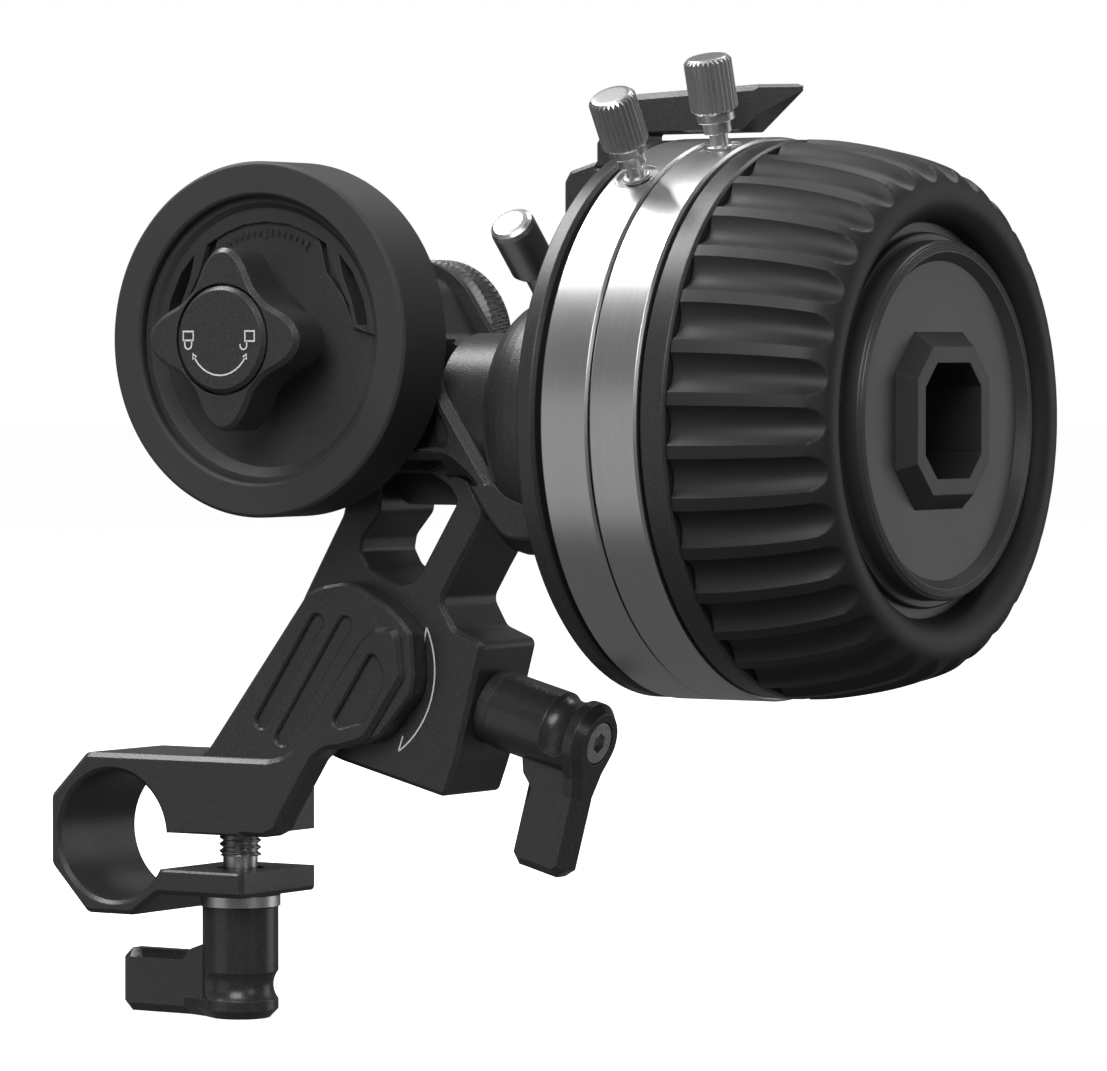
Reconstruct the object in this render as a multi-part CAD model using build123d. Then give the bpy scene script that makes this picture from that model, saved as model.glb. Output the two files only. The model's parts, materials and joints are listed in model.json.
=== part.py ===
from build123d import *
import math
import os

# Follow focus unit: a rod clamp with a swinging arm, a right-angle gearbox,
# a 43-tooth lens gear and a large handwheel with two stop rings.
# Millimetres.  X = handwheel axis, Y = rod and lens-gear axis (front is -Y), Z = up.
# The origin is the centre of the rod bore.

os.makedirs("parts", exist_ok=True)

# ---------------------------------------------------------------- driving sizes
ROD_R = 7.5                 # 15 mm support rod
CLAMP_Y0, CLAMP_Y1 = -7.0, 8.0

PIVOT_X, PIVOT_Z = 31.0, 20.0        # swing pivot of the arm
PIVOT_R, PIVOT_FIT = 5.5, 0.05
ARM_Y0, ARM_Y1 = -3.2, 8.0

STUD_X, STUD_Y = 12.8, 0.5           # rod clamp stud
LOCK_DEG = 15.0                      # arm lock axis, below +X
LOCK_Y = 2.4
LEVER_R, LEVER_LEN, LEVER_TIP = 4.38, 12.8, 15.85
LEVER_PULL = 2.5

GX, GZ = 26.75, 56.9                 # lens gear axis
TEETH, MODULE = 43, 0.8
GEAR_PITCH_R = TEETH * MODULE / 2
TYRE_R, TYRE_Y0, TYRE_Y1 = 19.8, -15.9, -7.3

WY, WZ = 4.0, 48.15                  # handwheel axis
RING_R, RING_IN, DRUM_R = 30.7, 27.0, 26.9
RING_A = (71.0, 76.9)
RING_B = (77.1, 82.9)
STOP_A_DEG, STOP_B_DEG = 31.5, 16.3  # from vertical, towards the front
STOP_A_X, STOP_B_X = 74.0, 80.0

COVER_Y0, COVER_Y1 = -6.5, -3.3      # front cover
BODY_Y0, BODY_Y1 = 0.3, 15.6         # gear chamber block
REAR_Y1 = 17.0                       # rear cover

BEV_N, BEV_R = 16, 3.6               # bevel pair, one to one
SPUR_M, SPUR_IN, SPUR_OUT = 0.5, 15, 20
SPUR_Y0, SPUR_Y1 = 10.9, 13.3

PIN_X, PIN_DEG = 61.3, 45.0          # release pin, up and to the front

PARTS = {}


def keep(name, shape):
    PARTS[name] = shape


# ---------------------------------------------------------------- helpers
def closed(pts, r=0.0):
    rr = [r] * len(pts) if isinstance(r, (int, float)) else list(r)
    if max(rr) == 0:
        return make_face(Polyline(*pts, close=True).edges())
    return make_face(FilletPolyline(*pts, radius=rr, close=True).edges())


def plate(pts, y0, y1, r=0.0):
    """A plate with its outline in X-Z, from y0 to y1."""
    f = Plane(origin=(0, y1, 0), x_dir=(1, 0, 0), z_dir=(0, -1, 0)) * closed(pts, r)
    return extrude(f, amount=y1 - y0, dir=(0, -1, 0))


def plate_x(pts, x0, x1, r=0.0):
    """A plate with its outline in Y-Z, from x0 to x1."""
    f = Plane(origin=(x0, 0, 0), x_dir=(0, 1, 0), z_dir=(1, 0, 0)) * closed(pts, r)
    return extrude(f, amount=x1 - x0, dir=(1, 0, 0))


def prism_z(pts, z0, z1, r=0.0):
    f = Plane(origin=(0, 0, z0)) * closed(pts, r)
    return extrude(f, amount=z1 - z0, dir=(0, 0, 1))


def turn_z(prof, cx=0.0, cy=0.0):
    """prof is (z, r)."""
    f = Plane(origin=(cx, cy, 0), x_dir=(1, 0, 0), z_dir=(0, -1, 0)) * closed([(r, z) for z, r in prof])
    return revolve(f, Axis((cx, cy, 0), (0, 0, 1)))


def turn_y(prof, cx, cz):
    """prof is (y, r)."""
    f = Plane(origin=(cx, 0, cz), x_dir=(0, 1, 0), z_dir=(1, 0, 0)) * closed(prof)
    return revolve(f, Axis((cx, 0, cz), (0, 1, 0)))


def turn_x(prof, cy=WY, cz=WZ):
    """prof is (x, r)."""
    f = Plane(origin=(0, cy, cz), x_dir=(1, 0, 0), z_dir=(0, -1, 0)) * closed(prof)
    return revolve(f, Axis((0, cy, cz), (1, 0, 0)))


def rod_y(cx, cz, r, y0, y1):
    return turn_y([(y0, 0), (y0, r), (y1, r), (y1, 0)], cx, cz)


def rod_x(x0, x1, r, cy=WY, cz=WZ):
    return turn_x([(x0, 0), (x0, r), (x1, r), (x1, 0)], cy, cz)


def rod_z(cx, cy, r, z0, z1):
    return turn_z([(z0, 0), (z0, r), (z1, r), (z1, 0)], cx, cy)


def tube_y(cx, cz, r0, r1, y0, y1):
    return turn_y([(y0, r0), (y0, r1), (y1, r1), (y1, r0)], cx, cz)


def tube_x(x0, x1, r0, r1, cy=WY, cz=WZ):
    return turn_x([(x0, r0), (x0, r1), (x1, r1), (x1, r0)], cy, cz)


def box(x0, x1, y0, y1, z0, z1):
    return Pos((x0 + x1) / 2, (y0 + y1) / 2, (z0 + z1) / 2) * Box(x1 - x0, y1 - y0, z1 - z0)


def face_edges_y(s, y, tol=0.01):
    """Every edge of s lying in the plane Y = y."""
    out = []
    for e in s.edges():
        b = e.bounding_box()
        if abs(b.min.Y - y) < tol and abs(b.max.Y - y) < tol:
            out.append(e)
    return out


def outer_edges_y(s, y, tol=0.01):
    out = []
    for f in s.faces():
        b = f.bounding_box()
        if abs(b.min.Y - y) < tol and abs(b.max.Y - y) < tol:
            out += list(f.outer_wire().edges())
    return out


def bevel(s, edges, size):
    return chamfer(edges, size)


def socket_screw(r, length, head_r, head_h, key):
    """A cap screw along +Z: its head sits below z = 0 ... head from -head_h to 0, shank 0 to length."""
    s = turn_z([(-head_h, 0), (-head_h, head_r - 0.25), (-head_h + 0.25, head_r), (0, head_r),
                (0, r), (length - 0.3, r), (length, r - 0.3), (length, 0)])
    hexa = Pos(0, 0, -head_h) * extrude(RegularPolygon(key / 2, 6, major_radius=False), amount=head_h * 0.6, dir=(0, 0, 1))
    return s - hexa


def flat_screw(r, length, head_r, key):
    """A countersunk screw along +Z, its flat head at z = 0."""
    h = head_r - r
    s = turn_z([(0, 0), (0, head_r), (0.15, head_r), (0.15 + h, r), (length - 0.3, r), (length, r - 0.3), (length, 0)])
    hexa = extrude(RegularPolygon(key / 2, 6, major_radius=False), amount=h * 0.9, dir=(0, 0, 1))
    return s - hexa


def flat_hole(r, length, head_r):
    h = head_r - r
    return turn_z([(-2, 0), (-2, head_r), (0.15, head_r), (0.15 + h, r), (length, r), (length, 0)])


def along(origin, direction, x_dir=None):
    d = Vector(*direction).normalized()
    if x_dir is None:
        x_dir = (1, 0, 0) if abs(d.X) < 0.9 else (0, 1, 0)
    return Plane(origin=origin, x_dir=x_dir, z_dir=d)


def inv_angle(a):
    return math.tan(a) - a


def spur_points(n, m, phase, backlash=0.05, add=1.0, ded=1.25):
    rp, pa = n * m / 2, math.radians(20)
    rb, ra, rf = rp * math.cos(pa), rp + add * m, rp - ded * m
    half = math.pi / (2 * n) - backlash / (2 * rp)
    def half_at(r):
        if r <= rb:
            return half + inv_angle(pa)
        return half + inv_angle(pa) - inv_angle(math.acos(rb / r))
    radii = [rf] + [max(rf, rb) + (ra - max(rf, rb)) * t for t in (0.02, 0.35, 0.7, 1.0)]
    pts = []
    for i in range(n):
        c = phase + 2 * math.pi * i / n
        for r in radii:
            a = c - half_at(r)
            pts.append((r * math.cos(a), r * math.sin(a)))
        for r in reversed(radii):
            a = c + half_at(r)
            pts.append((r * math.cos(a), r * math.sin(a)))
    return pts


def bevel_points(n, rp, d, phase, backlash=0.06):
    """Section of a 45 degree straight bevel gear, at distance d from the apex."""
    R = rp * math.sqrt(2)
    m = 2 * rp / n
    pts, rows = [], []
    s0 = rp * math.pi / (2 * n) - backlash / 2
    for h in (-1.2 * m, 0.0, 0.85 * m):
        dl = math.atan(h / R)
        rad = d * math.tan(math.radians(45) + dl)
        th = (s0 - h * math.tan(math.radians(20))) / (R * math.sin(math.radians(45) + dl) / math.cos(dl))
        rows.append((rad, th))
    for i in range(n):
        c = phase + 2 * math.pi * i / n
        for rad, th in rows:
            pts.append((rad * math.cos(c - th), rad * math.sin(c - th)))
        for rad, th in reversed(rows):
            pts.append((rad * math.cos(c + th), rad * math.sin(c + th)))
    return pts


def ball_bearing(r_in, r_out, width, n_ball, ball_r):
    """Rings and balls along +Z from z = 0."""
    rm = (r_in + r_out) / 2
    gap = 0.3
    inner = turn_z([(0, r_in), (0, rm - gap), (width, rm - gap), (width, r_in)])
    outer = turn_z([(0, rm + gap), (0, r_out), (width, r_out), (width, rm + gap)])
    groove = Pos(0, 0, width / 2) * Torus(rm, ball_r + 0.04)
    inner, outer = inner - groove, outer - groove
    balls = [Pos(rm * math.cos(2 * math.pi * i / n_ball), rm * math.sin(2 * math.pi * i / n_ball), width / 2)
             * Sphere(ball_r) for i in range(n_ball)]
    return inner, outer, balls


def group(shapes):
    out = []
    for s in shapes:
        out += list(s.solids())
    return Compound(children=out)


# ================================================================ rod clamp and its arm
block = plate([(-8.93, -3.6), (-8.93, 4.35), (-3.8, 9.5), (18.3, 9.5), (18.3, -6.5), (6.4, -6.5),
               (2.8, -9.05), (-3.75, -9.05)], CLAMP_Y0, CLAMP_Y1, [1.2, 1.2, 1.2, 0.6, 0.6, 1.0, 1.0, 1.2])
block = bevel(block, outer_edges_y(block, CLAMP_Y0) + outer_edges_y(block, CLAMP_Y1), 0.55)
slit = plate([(4.5, -3.6), (19.5, -3.6), (19.5, 0.65), (4.5, 0.65)], -9, 10)
bore = turn_y([(-9, 0), (-9, ROD_R + 2.45), (CLAMP_Y0 + 0.45, ROD_R), (CLAMP_Y1 - 0.45, ROD_R), (10, ROD_R + 2.45), (10, 0)], 0, 0)

arm_low = plate([(10, 0.65), (21.3, 0.65), (22.9, 1.4), (23.9, 3.2), (28.1, 9.8), (29.9, 10.9), (31.6, 11.1),
                 (34.8, 11.7), (36.7, 12.6), (39.6, 15.9), (40.8, 17.3), (41.2, 19.3), (40.9, 24.2), (39.6, 25.7),
                 (37.6, 27.3), (33.4, 29.55), (31.5, 29.7), (28.9, 29.25), (26.7, 28.4), (13.1, 10.5), (11.3, 9.5), (10, 9.5)],
                -6.2, -3.3, [0, 0.8, 1.5, 0, 2.5, 1.5, 0, 3, 2, 2, 1, 1.5, 1.5, 1.5, 2.5, 2.5, 1.5, 1.5, 2.5, 2, 1, 0])
arm_low = bevel(arm_low, outer_edges_y(arm_low, -6.2), 0.35)
arm_pad = plate([(10, 0.65), (21.3, 0.65), (22.9, 1.4), (23.9, 3.2), (28.1, 9.8), (29.9, 10.9), (31.6, 11.1),
                 (34.5, 11.9), (35.4, 12.4), (40.1, 19.2), (39.6, 24.0), (38.9, 24.9), (36.3, 24.85),
                 (34.3, 23.3), (25.0, 10.8), (23.6, 9.9), (21.7, 9.5), (10, 9.5)],
                -7.0, -3.3, [0, 0.8, 1.5, 0, 2.5, 1.2, 0, 1.5, 1, 1, 1.5, 0.8, 1.5, 2, 2.5, 1.5, 1.5, 0])
arm_pad = bevel(arm_pad, outer_edges_y(arm_pad, -7.0), 0.55)
boss = rod_y(PIVOT_X, PIVOT_Z, PIVOT_R, -3.4, 6.85)
clamp = block + arm_low + arm_pad + boss
clamp = clamp - slit - bore
# stud: threaded above the slit, clear below it
clamp -= rod_z(STUD_X, STUD_Y, 2.5, 0.0, 8.2)
clamp -= rod_z(STUD_X, STUD_Y, 2.75, -7.0, 0.0)
# two slanted grooves and a D-shaped pocket, 0.6 deep
def groove(p, q, w, y_face, depth):
    dx, dz = q[0] - p[0], q[1] - p[1]
    L = math.hypot(dx, dz)
    nx, nz = -dz / L * w / 2, dx / L * w / 2
    bar = plate([(p[0] + nx, p[1] + nz), (q[0] + nx, q[1] + nz), (q[0] - nx, q[1] - nz), (p[0] - nx, p[1] - nz)],
                y_face - 2, y_face + depth)
    return bar + rod_y(p[0], p[1], w / 2, y_face - 2, y_face + depth) + rod_y(q[0], q[1], w / 2, y_face - 2, y_face + depth)
clamp -= groove((28.03, 25.2), (20.5, 13.85), 1.65, -6.2, 0.6)
clamp -= groove((31.9, 25.0), (23.3, 12.0), 1.65, -7.0, 1.3)
clamp -= plate([(36.1, 22.3), (37.54, 19.96), (37.38, 18.11), (34.83, 14.21), (31.6, 13.4), (30.7, 14.2)],
               -9, -6.35, [0.7, 0.8, 1.2, 1.2, 0.6, 0.6])
# tapped hole in the pivot boss
clamp -= rod_y(PIVOT_X, PIVOT_Z, 2.0, -2.0, 7.5)
keep("rod_clamp_arm", clamp)

keep("pivot_washer", tube_y(PIVOT_X, PIVOT_Z, 2.2, 6.8, 6.85, 7.85))
screw = along((PIVOT_X, 7.85, PIVOT_Z), (0, -1, 0)) * socket_screw(2.0, 9.0, 3.7, 2.1, 2.5)
keep("pivot_screw", screw)


# ================================================================ pull-out ratchet levers
def toothed(r_tip, r_root, n, grow=0.0):
    pts = []
    for i in range(2 * n):
        r = (r_tip if i % 2 == 0 else r_root) + grow
        a = math.pi * i / n
        pts.append((r * math.cos(a), r * math.sin(a)))
    return pts


def lever_body():
    """The lever along +Z from its inner end at z = 0; its handle towards +X."""
    z1, c, k = LEVER_LEN, 1.0, 1.1
    b = turn_z([(0, 0), (0, LEVER_R - 0.1), (0.1, LEVER_R), (z1 - c, LEVER_R), (z1, LEVER_R - c), (z1, 0)])
    # scooped waist, open on the side away from the handle
    a = math.radians(76)
    wr, wc, wz = 2.57, 6.37, z1 - 3.75
    end = Plane(origin=(wc * math.cos(a), wc * math.sin(a), wz), x_dir=(math.cos(a), math.sin(a), 0), z_dir=(math.sin(a), -math.cos(a), 0))
    waist = revolve(end * Circle(wr), Axis((0, 0, 0), (0, 0, 1)), revolution_arc=208)
    for s in (1, -1):
        waist += Pos(wc * math.cos(a), s * wc * math.sin(a), wz) * Sphere(wr)
    b -= waist
    # flat handle with broad bevels
    z0, t = z1 - 7.3, 1.9
    full = [(2.0, z1 - 9.0), (5.6, z1 - 7.75), (6.9, z0), (LEVER_TIP - k, z0), (LEVER_TIP, z0 + k), (LEVER_TIP, z1 - k), (LEVER_TIP - k, z1), (2.0, z1)]
    q = k + 0.4142 * c
    less = [(2.0, z1 - 9.0), (5.6, z1 - 7.75), (6.9, z0 + c), (LEVER_TIP - q, z0 + c), (LEVER_TIP - c, z0 + q), (LEVER_TIP - c, z1 - q), (LEVER_TIP - q, z1 - c),
            (2.0, z1 - c)]
    def at_y(pts, y):
        return Plane(origin=(0, y, 0), x_dir=(1, 0, 0), z_dir=(0, -1, 0)) * closed(pts)
    handle = extrude(at_y(full, t - c), amount=2 * (t - c), dir=(0, -1, 0))
    handle += loft([at_y(less, -t), at_y(full, c - t)], ruled=True) + loft([at_y(full, t - c), at_y(less, t)], ruled=True)
    # web between the round end and the handle
    w0 = [(0.6, -4.3), (2.6, -3.55), (4.3, -2.6), (6.6, -t), (6.6, t), (4.3, 2.6), (2.6, 3.55), (0.6, 4.3)]
    w1 = [(0.25, -3.35), (2.0, -2.75), (3.6, -1.8), (6.3, c - t), (6.3, t - c), (3.6, 1.8), (2.0, 2.75), (0.25, 3.35)]
    web = prism_z(w0, z1 - 2.1, z1 - c) + loft([Plane(origin=(0, 0, z1 - c)) * closed(w0), Plane(origin=(0, 0, z1)) * closed(w1)], ruled=True)
    b = b + handle + web
    b -= prism_z(toothed(3.2, 2.75, 12, 0.08), -1.0, 2.4)          # tooth pocket
    b -= rod_z(0, 0, 3.4, 2.4, 4.9)                                 # clear pocket
    b -= rod_z(0, 0, 1.35, 4.0, 8.0)
    b -= rod_z(0, 0, 2.5, 6.0, LEVER_LEN + 1)                       # spring and screw-head bore
    return b


def lever_stud(thread_r, thread_len, shank_len):
    """Stud along -Z above its toothed head; the head spans z = 0.02 .. 2.3."""
    head = prism_z(toothed(3.2, 2.75, 12), 0.02, 2.3)
    s = head + rod_z(0, 0, 2.0, -shank_len, 0.02) + turn_z(
        [(-shank_len - thread_len, 0), (-shank_len - thread_len, thread_r - 0.5), (-shank_len - thread_len + 0.5, thread_r),
         (-shank_len, thread_r), (-shank_len, 0)])
    return s - rod_z(0, 0, 1.25, -4.0, 3.0)


def lever_screw():
    """Small cap screw that keeps the lever on the stud; its head is at the outer end."""
    s = turn_z([(-3.5, 0), (-3.5, 1.25), (11.4, 1.25), (11.4, 2.4), (12.6, 2.4), (12.7, 2.3), (12.7, 0)])
    hexa = Pos(0, 0, 11.8) * extrude(RegularPolygon(1.0, 6, major_radius=False), amount=2, dir=(0, 0, 1))
    return s - hexa


def coil(r, wire, z0, z1, turns):
    """Compression spring along Z as a swept round wire."""
    pitch = (z1 - z0 - wire) / turns
    path = Helix(pitch=pitch, height=z1 - z0 - wire, radius=r, center=(0, 0, z0 + wire / 2))
    sec = Plane(origin=path @ 0, z_dir=path % 0) * Circle(wire / 2)
    return sweep(sec, path=path, is_frenet=True)


lever = lever_body()
# rod clamp lever: outer end down, handle towards -X
place = Plane(origin=(STUD_X, STUD_Y, -8.0), x_dir=(-1, 0, 0), z_dir=(0, 0, -1))
keep("rod_clamp_lever", place * lever)
keep("rod_clamp_stud", place * lever_stud(2.45, 10.2, 5.8))
keep("rod_clamp_lever_screw", place * lever_screw())
keep("rod_clamp_lever_spring", place * coil(1.85, 0.4, 6.05, 11.35, 6))
keep("rod_clamp_washer", turn_z([(-7.95, 2.1), (-7.95, 4.62), (-6.7, 4.62), (-6.58, 4.5), (-6.58, 2.1)], STUD_X, STUD_Y))

# arm lock lever: along the slanted axis, handle down
dx, dz = math.cos(math.radians(LOCK_DEG)), -math.sin(math.radians(LOCK_DEG))
def on_lock(t):
    return (PIVOT_X + dx * t, LOCK_Y, PIVOT_Z + dz * t)
LOCK_IN = 17.6
place = Plane(origin=on_lock(LOCK_IN), x_dir=(dz, 0, -dx), z_dir=(dx, 0, dz))
keep("arm_lock_lever", place * lever)
keep("arm_lock_stud", place * lever_stud(2.45, 8.6, 1.5))
keep("arm_lock_lever_screw", place * lever_screw())
keep("arm_lock_lever_spring", place * coil(1.85, 0.4, 8.55, 11.35, 5))
keep("arm_lock_washer", place * turn_z([(-1.42, 2.1), (-1.42, 4.25), (-0.05, 4.25), (-0.05, 2.1)]))

# ================================================================ swinging arm
link = plate([(29.9, 42.6), (29.6, 37.4), (24.3, 28.2), (21.3, 22.5), (21.0, 17.0), (23.5, 11.5), (29.2, 9.5),
              (43.4, 5.8), (44.9, 9.8), (48.5, 23.2), (44.7, 24.7), (42.9, 27.8), (45.0, 31.3), (48.9, 37.4), (46.6, 41.6), (43.3, 42.6)],
             ARM_Y0, ARM_Y1, [0, 3, 4, 3, 3, 3, 3, 0.9, 2, 0.9, 1.5, 1.5, 3, 1.5, 1.5, 1])
link = bevel(link, outer_edges_y(link, ARM_Y0), 0.5)
window = plate([(35.0, 42.0), (34.7, 37.5), (32.4, 34.8), (32.1, 33.2), (33.1, 31.4), (35.6, 30.1), (37.5, 29.5), (39.1, 29.9),
                (40.4, 31.25), (44.8, 38.4), (44.9, 39.2), (44.1, 40.4), (42.7, 41.3), (41.4, 42.0)],
               -5, 10, [1.0, 1.5, 1.5, 0.8, 1.5, 1.5, 1.2, 1.0, 1.0, 0.6, 0.5, 0.8, 0.8, 0.6])
tongue = plate([(31, 41.9), (43.6, 41.9), (43.6, 47.0), (42.2, 49.6), (42.2, 55.9), (36.2, 55.9), (36.2, 46.5), (31, 46.5)], ARM_Y0, -1.05, [0, 0, 1, 1, 1, 1, 1, 1])
link = link + tongue - window
link -= box(34.9, 50, 0.2, 12, 38.3, 46)                       # room for the gear chamber
# room for the tube and the bell of the gearbox
link -= turn_x([(43.7, 0), (43.7, 9.6), (49.4, 9.95), (51.0, 12.0), (53, 14.1), (56, 15.7), (56, 0)])
link -= rod_y(PIVOT_X, PIVOT_Z, PIVOT_R + PIVOT_FIT, -4, 9)    # pivot bore
link -= rod_y(PIVOT_X, PIVOT_Z, 7.1, 6.8, 9)                   # washer recess
lockhole = Plane(origin=on_lock(0), x_dir=(0, 1, 0), z_dir=(dx, 0, dz))
link -= lockhole * rod_z(0, 0, 2.5, 3.0, 20)
LINK_SCREWS = [(32.9, 44.3), (41.7, 44.1), (38.1, 53.9), (40.4, 52.0)]
for x, z in LINK_SCREWS:
    link -= along((x, ARM_Y0, z), (0, 1, 0)) * flat_hole(1.0, 9, 1.75)
keep("arm_link", link)
keep("arm_lock_pad", lockhole * turn_z([(5.0, 0), (5.0, 2.4), (7.15, 2.4), (7.15, 0)])
     - rod_y(PIVOT_X, PIVOT_Z, PIVOT_R + 0.05, -4, 9))

# ================================================================ gearbox housing
# block around the gears
b1 = plate([(19.45, 44.3), (19.45, 64.2), (31.5, 64.2), (35.6, 57.3), (41.2, 57.3), (42.6, 56.3), (46, 56.3), (46, 38.4), (35, 38.4), (35, 42.8), (21, 42.8)],
           BODY_Y0, BODY_Y1, [1, 7.2, 4.5, 1, 0, 0, 0, 1.8, 1.8, 0, 1])
# straight tube, then a domed bell with a flange for the back plate
tube_bell = turn_x([(43.8, 0), (43.8, 9.5), (51.2, 9.5), (51.2, 10.7), (51.27, 11.2), (51.45, 11.7), (51.75, 12.15), (52.15, 12.55), (52.7, 12.95), (53.4, 13.3),
                    (54.3, 13.6), (55.4, 13.85), (56.6, 14.0), (57.6, 14.05), (58.3, 14.2), (58.9, 14.6), (59.4, 15.3), (59.8, 15.95), (60.4, 16.3), (61.2, 16.4), (67.8, 16.4), (67.8, 0)])
pad = plate([(20.0, 43.6), (20.0, 57.5), (33.0, 62.3), (36.0, 57.0), (36.0, 46.7), (30.8, 46.7), (30.8, 43.6)],
            COVER_Y1, BODY_Y0 + 0.5, 0.4)
pad2 = plate([(30.0, 42.85), (45.5, 42.85), (45.5, 54.0), (42.2, 54.0), (42.2, 57.0), (30.0, 57.0)], -1.0, BODY_Y0 + 0.5)
front_boss = rod_y(GX, GZ, 7.3, COVER_Y1, BODY_Y0 + 0.5)
LEG_FRONT = [(49.0, 40.7), (50.45, 38.5), (51.4, 37.35), (52.25, 36.35), (52.95, 35.65), (53.75, 35.2), (55.0, 35.0), (58.5, 35.0), (58.5, 41.0), (51.5, 41.0)]
LEG_BACK = [(48.85, 40.55), (49.3, 37.8), (49.65, 36.8), (50.35, 35.7), (51.5, 34.4), (52.8, 33.6), (54.6, 33.15), (58.5, 33.0), (58.5, 41.0), (51.5, 41.0)]
leg = plate([(43.9, 48.15), (43.9, 43.9), (45.3, 43.9), (47.0, 43.1)] + LEG_BACK[:7] + [(60.5, 33.0), (60.5, 48.15)], COVER_Y1, 5.0)
housing = b1 + tube_bell + pad + pad2 + front_boss + leg
for x, z in LINK_SCREWS:
    housing -= rod_y(x, z, 1.0, -2, 1.2)
# gear chamber, open to the rear
housing -= rod_y(GX, GZ, 5.7, 10.3, 16)
housing -= rod_y(GX, WZ, 4.45, 10.3, 16)
housing -= plate([(GX - 4.4, WZ), (GX + 4.4, WZ), (GX + 4.4, GZ), (GX - 4.4, GZ)], 10.3, 16)
housing -= rod_y(GX, GZ, 6.3, 13.6, 16)                      # boss of the rear cover
housing -= rod_y(GX, GZ, 4.0, -4, 11)                        # shaft clearance
housing -= rod_y(GX, GZ, 5.0, -4, COVER_Y1 + 2.55)           # front bearing seat
housing -= rod_y(GX, WZ, 4.4, -0.3, 9.6)                     # bevel chamber
housing -= rod_x(GX, 33.2, 4.4)
housing -= rod_y(GX, WZ, 2.5, -2.4, 11)                      # idler bush bores
housing -= rod_x(33.0, 68.5, 4.3)                            # handwheel shaft bore
housing -= rod_x(45.0, 46.5, 6.3)
housing -= rod_x(46.0, 58.0, 8.0)                            # seats of both bearings
housing -= rod_x(57.8, 69.0, 11.5)
COVER_SCREWS = [(22.2, 46.2), (29.2, 45.0), (33.6, 58.6)]
for x, z in COVER_SCREWS:
    housing -= rod_y(x, z, 1.25, -4, -0.9)
REAR_SCREWS = [(21.4, 45.1), (33.9, 55.2), (38.0, 41.6), (44.0, 44.4)]
for x, z in REAR_SCREWS:
    housing -= rod_y(x, z, 1.25, 9.9, 16)
PLATE_SCREWS = [(14.0 * math.cos(math.radians(a)), 14.0 * math.sin(math.radians(a))) for a in (45 + 22.5, 157.5, 247.5, 337.5)]
for y, z in PLATE_SCREWS:
    housing -= rod_x(60.5, 68.5, 1.5, WY + y, WZ + z)
pin_dir = (0, -math.sin(math.radians(PIN_DEG)), math.cos(math.radians(PIN_DEG)))
pin_place = Plane(origin=(PIN_X, WY, WZ), x_dir=(1, 0, 0), z_dir=pin_dir)
housing -= pin_place * rod_z(0, 0, 3.2, 9.0, 18.5)
keep("gearbox_housing", housing)

# front cover: a plate round the gear axis that runs down to the bell
cover = plate([(14.75, 68.9), (33.156, 68.9), (52.2, 40.6), (54.2, 38.9), (58.5, 37.6), (58.5, 35.0), (53.7, 35.0),
               (51.5, 37.2), (48.6, 41.3), (45.6, 43.5), (19.2, 43.5), (14.75, 50.5)],
              COVER_Y0, COVER_Y1, [11.9, 11.9, 3, 3, 0, 0, 2.0, 3, 5, 3, 3, 3])
cover = bevel(cover, [e for e in outer_edges_y(cover, COVER_Y0) if e.bounding_box().min.X < 58.2 and not (e.bounding_box().max.Z < 43.6 and e.bounding_box().min.X < 53.8
              or e.bounding_box().max.Z < 35.2)], 0.9)
# the foot of the leg is cut back underneath
cover += loft([Plane(origin=(0, COVER_Y0, 0), x_dir=(1, 0, 0), z_dir=(0, -1, 0)) * closed(LEG_FRONT),
               Plane(origin=(0, COVER_Y1, 0), x_dir=(1, 0, 0), z_dir=(0, -1, 0)) * closed(LEG_BACK)], ruled=True)
# three-cornered pocket with a ledge
cover -= plate([(40.2, 49.8), (44.2, 49.8), (45.9, 46.6), (45.7, 44.9), (40.4, 44.9)], -8, -4.6, [0.5, 0.8, 0.5, 0.7, 0.5])
cover = cover - tube_bell
cover -= rod_y(GX, GZ, 4.2, -8, -2)
for x, z in COVER_SCREWS:
    cover -= along((x, COVER_Y0, z), (0, 1, 0)) * flat_hole(1.3, 9, 2.3)
keep("gearbox_front_cover", cover)
gearbox_screws = [along((x, COVER_Y0, z), (0, 1, 0)) * flat_screw(1.25, 5.4, 2.3, 1.5) for x, z in COVER_SCREWS]
gearbox_screws += [along((x, ARM_Y0, z), (0, 1, 0)) * flat_screw(1.0, 4.0, 1.75, 1.3) for x, z in LINK_SCREWS]

# rear cover
rd = rod_y(GX, GZ, 9.2, BODY_Y1, REAR_Y1)
rx, rz = GX + 9.2 * 0.832, GZ + 9.2 * 0.5547
rc = plate([(17.55, 56.9), (18.4, 44.2), (20.4, 42.7), (34.6, 42.7), (36.0, 39.0), (45.4, 39.0), (46.0, 40.2), (46.0, 44.6), (rx, rz), (GX, GZ)],
           BODY_Y1, REAR_Y1, [0, 1.5, 1.5, 1.5, 1.2, 0.8, 0.8, 2, 0, 0])
rear = rc + rd
rear = bevel(rear, outer_edges_y(rear, REAR_Y1), 0.5)
rear += rod_y(GX, GZ, 6.2, 13.65, BODY_Y1 + 0.5)
rear -= rod_y(GX, GZ, 5.0, 13.0, 16.2)
rear -= rod_y(GX, GZ, 4.2, 16.0, 18)
rear -= rod_y(GX, WZ, 2.5, 15.0, 16.4)                    # end recess of the idler shaft
for x, z in REAR_SCREWS:
    rear -= along((x, REAR_Y1, z), (0, -1, 0)) * flat_hole(1.3, 9, 2.3)
keep("gearbox_rear_cover", rear)
gearbox_screws += [along((x, REAR_Y1, z), (0, -1, 0)) * flat_screw(1.25, 7.0, 2.3, 1.5) for x, z in REAR_SCREWS]
keep("gearbox_screws", group(gearbox_screws))

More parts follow.
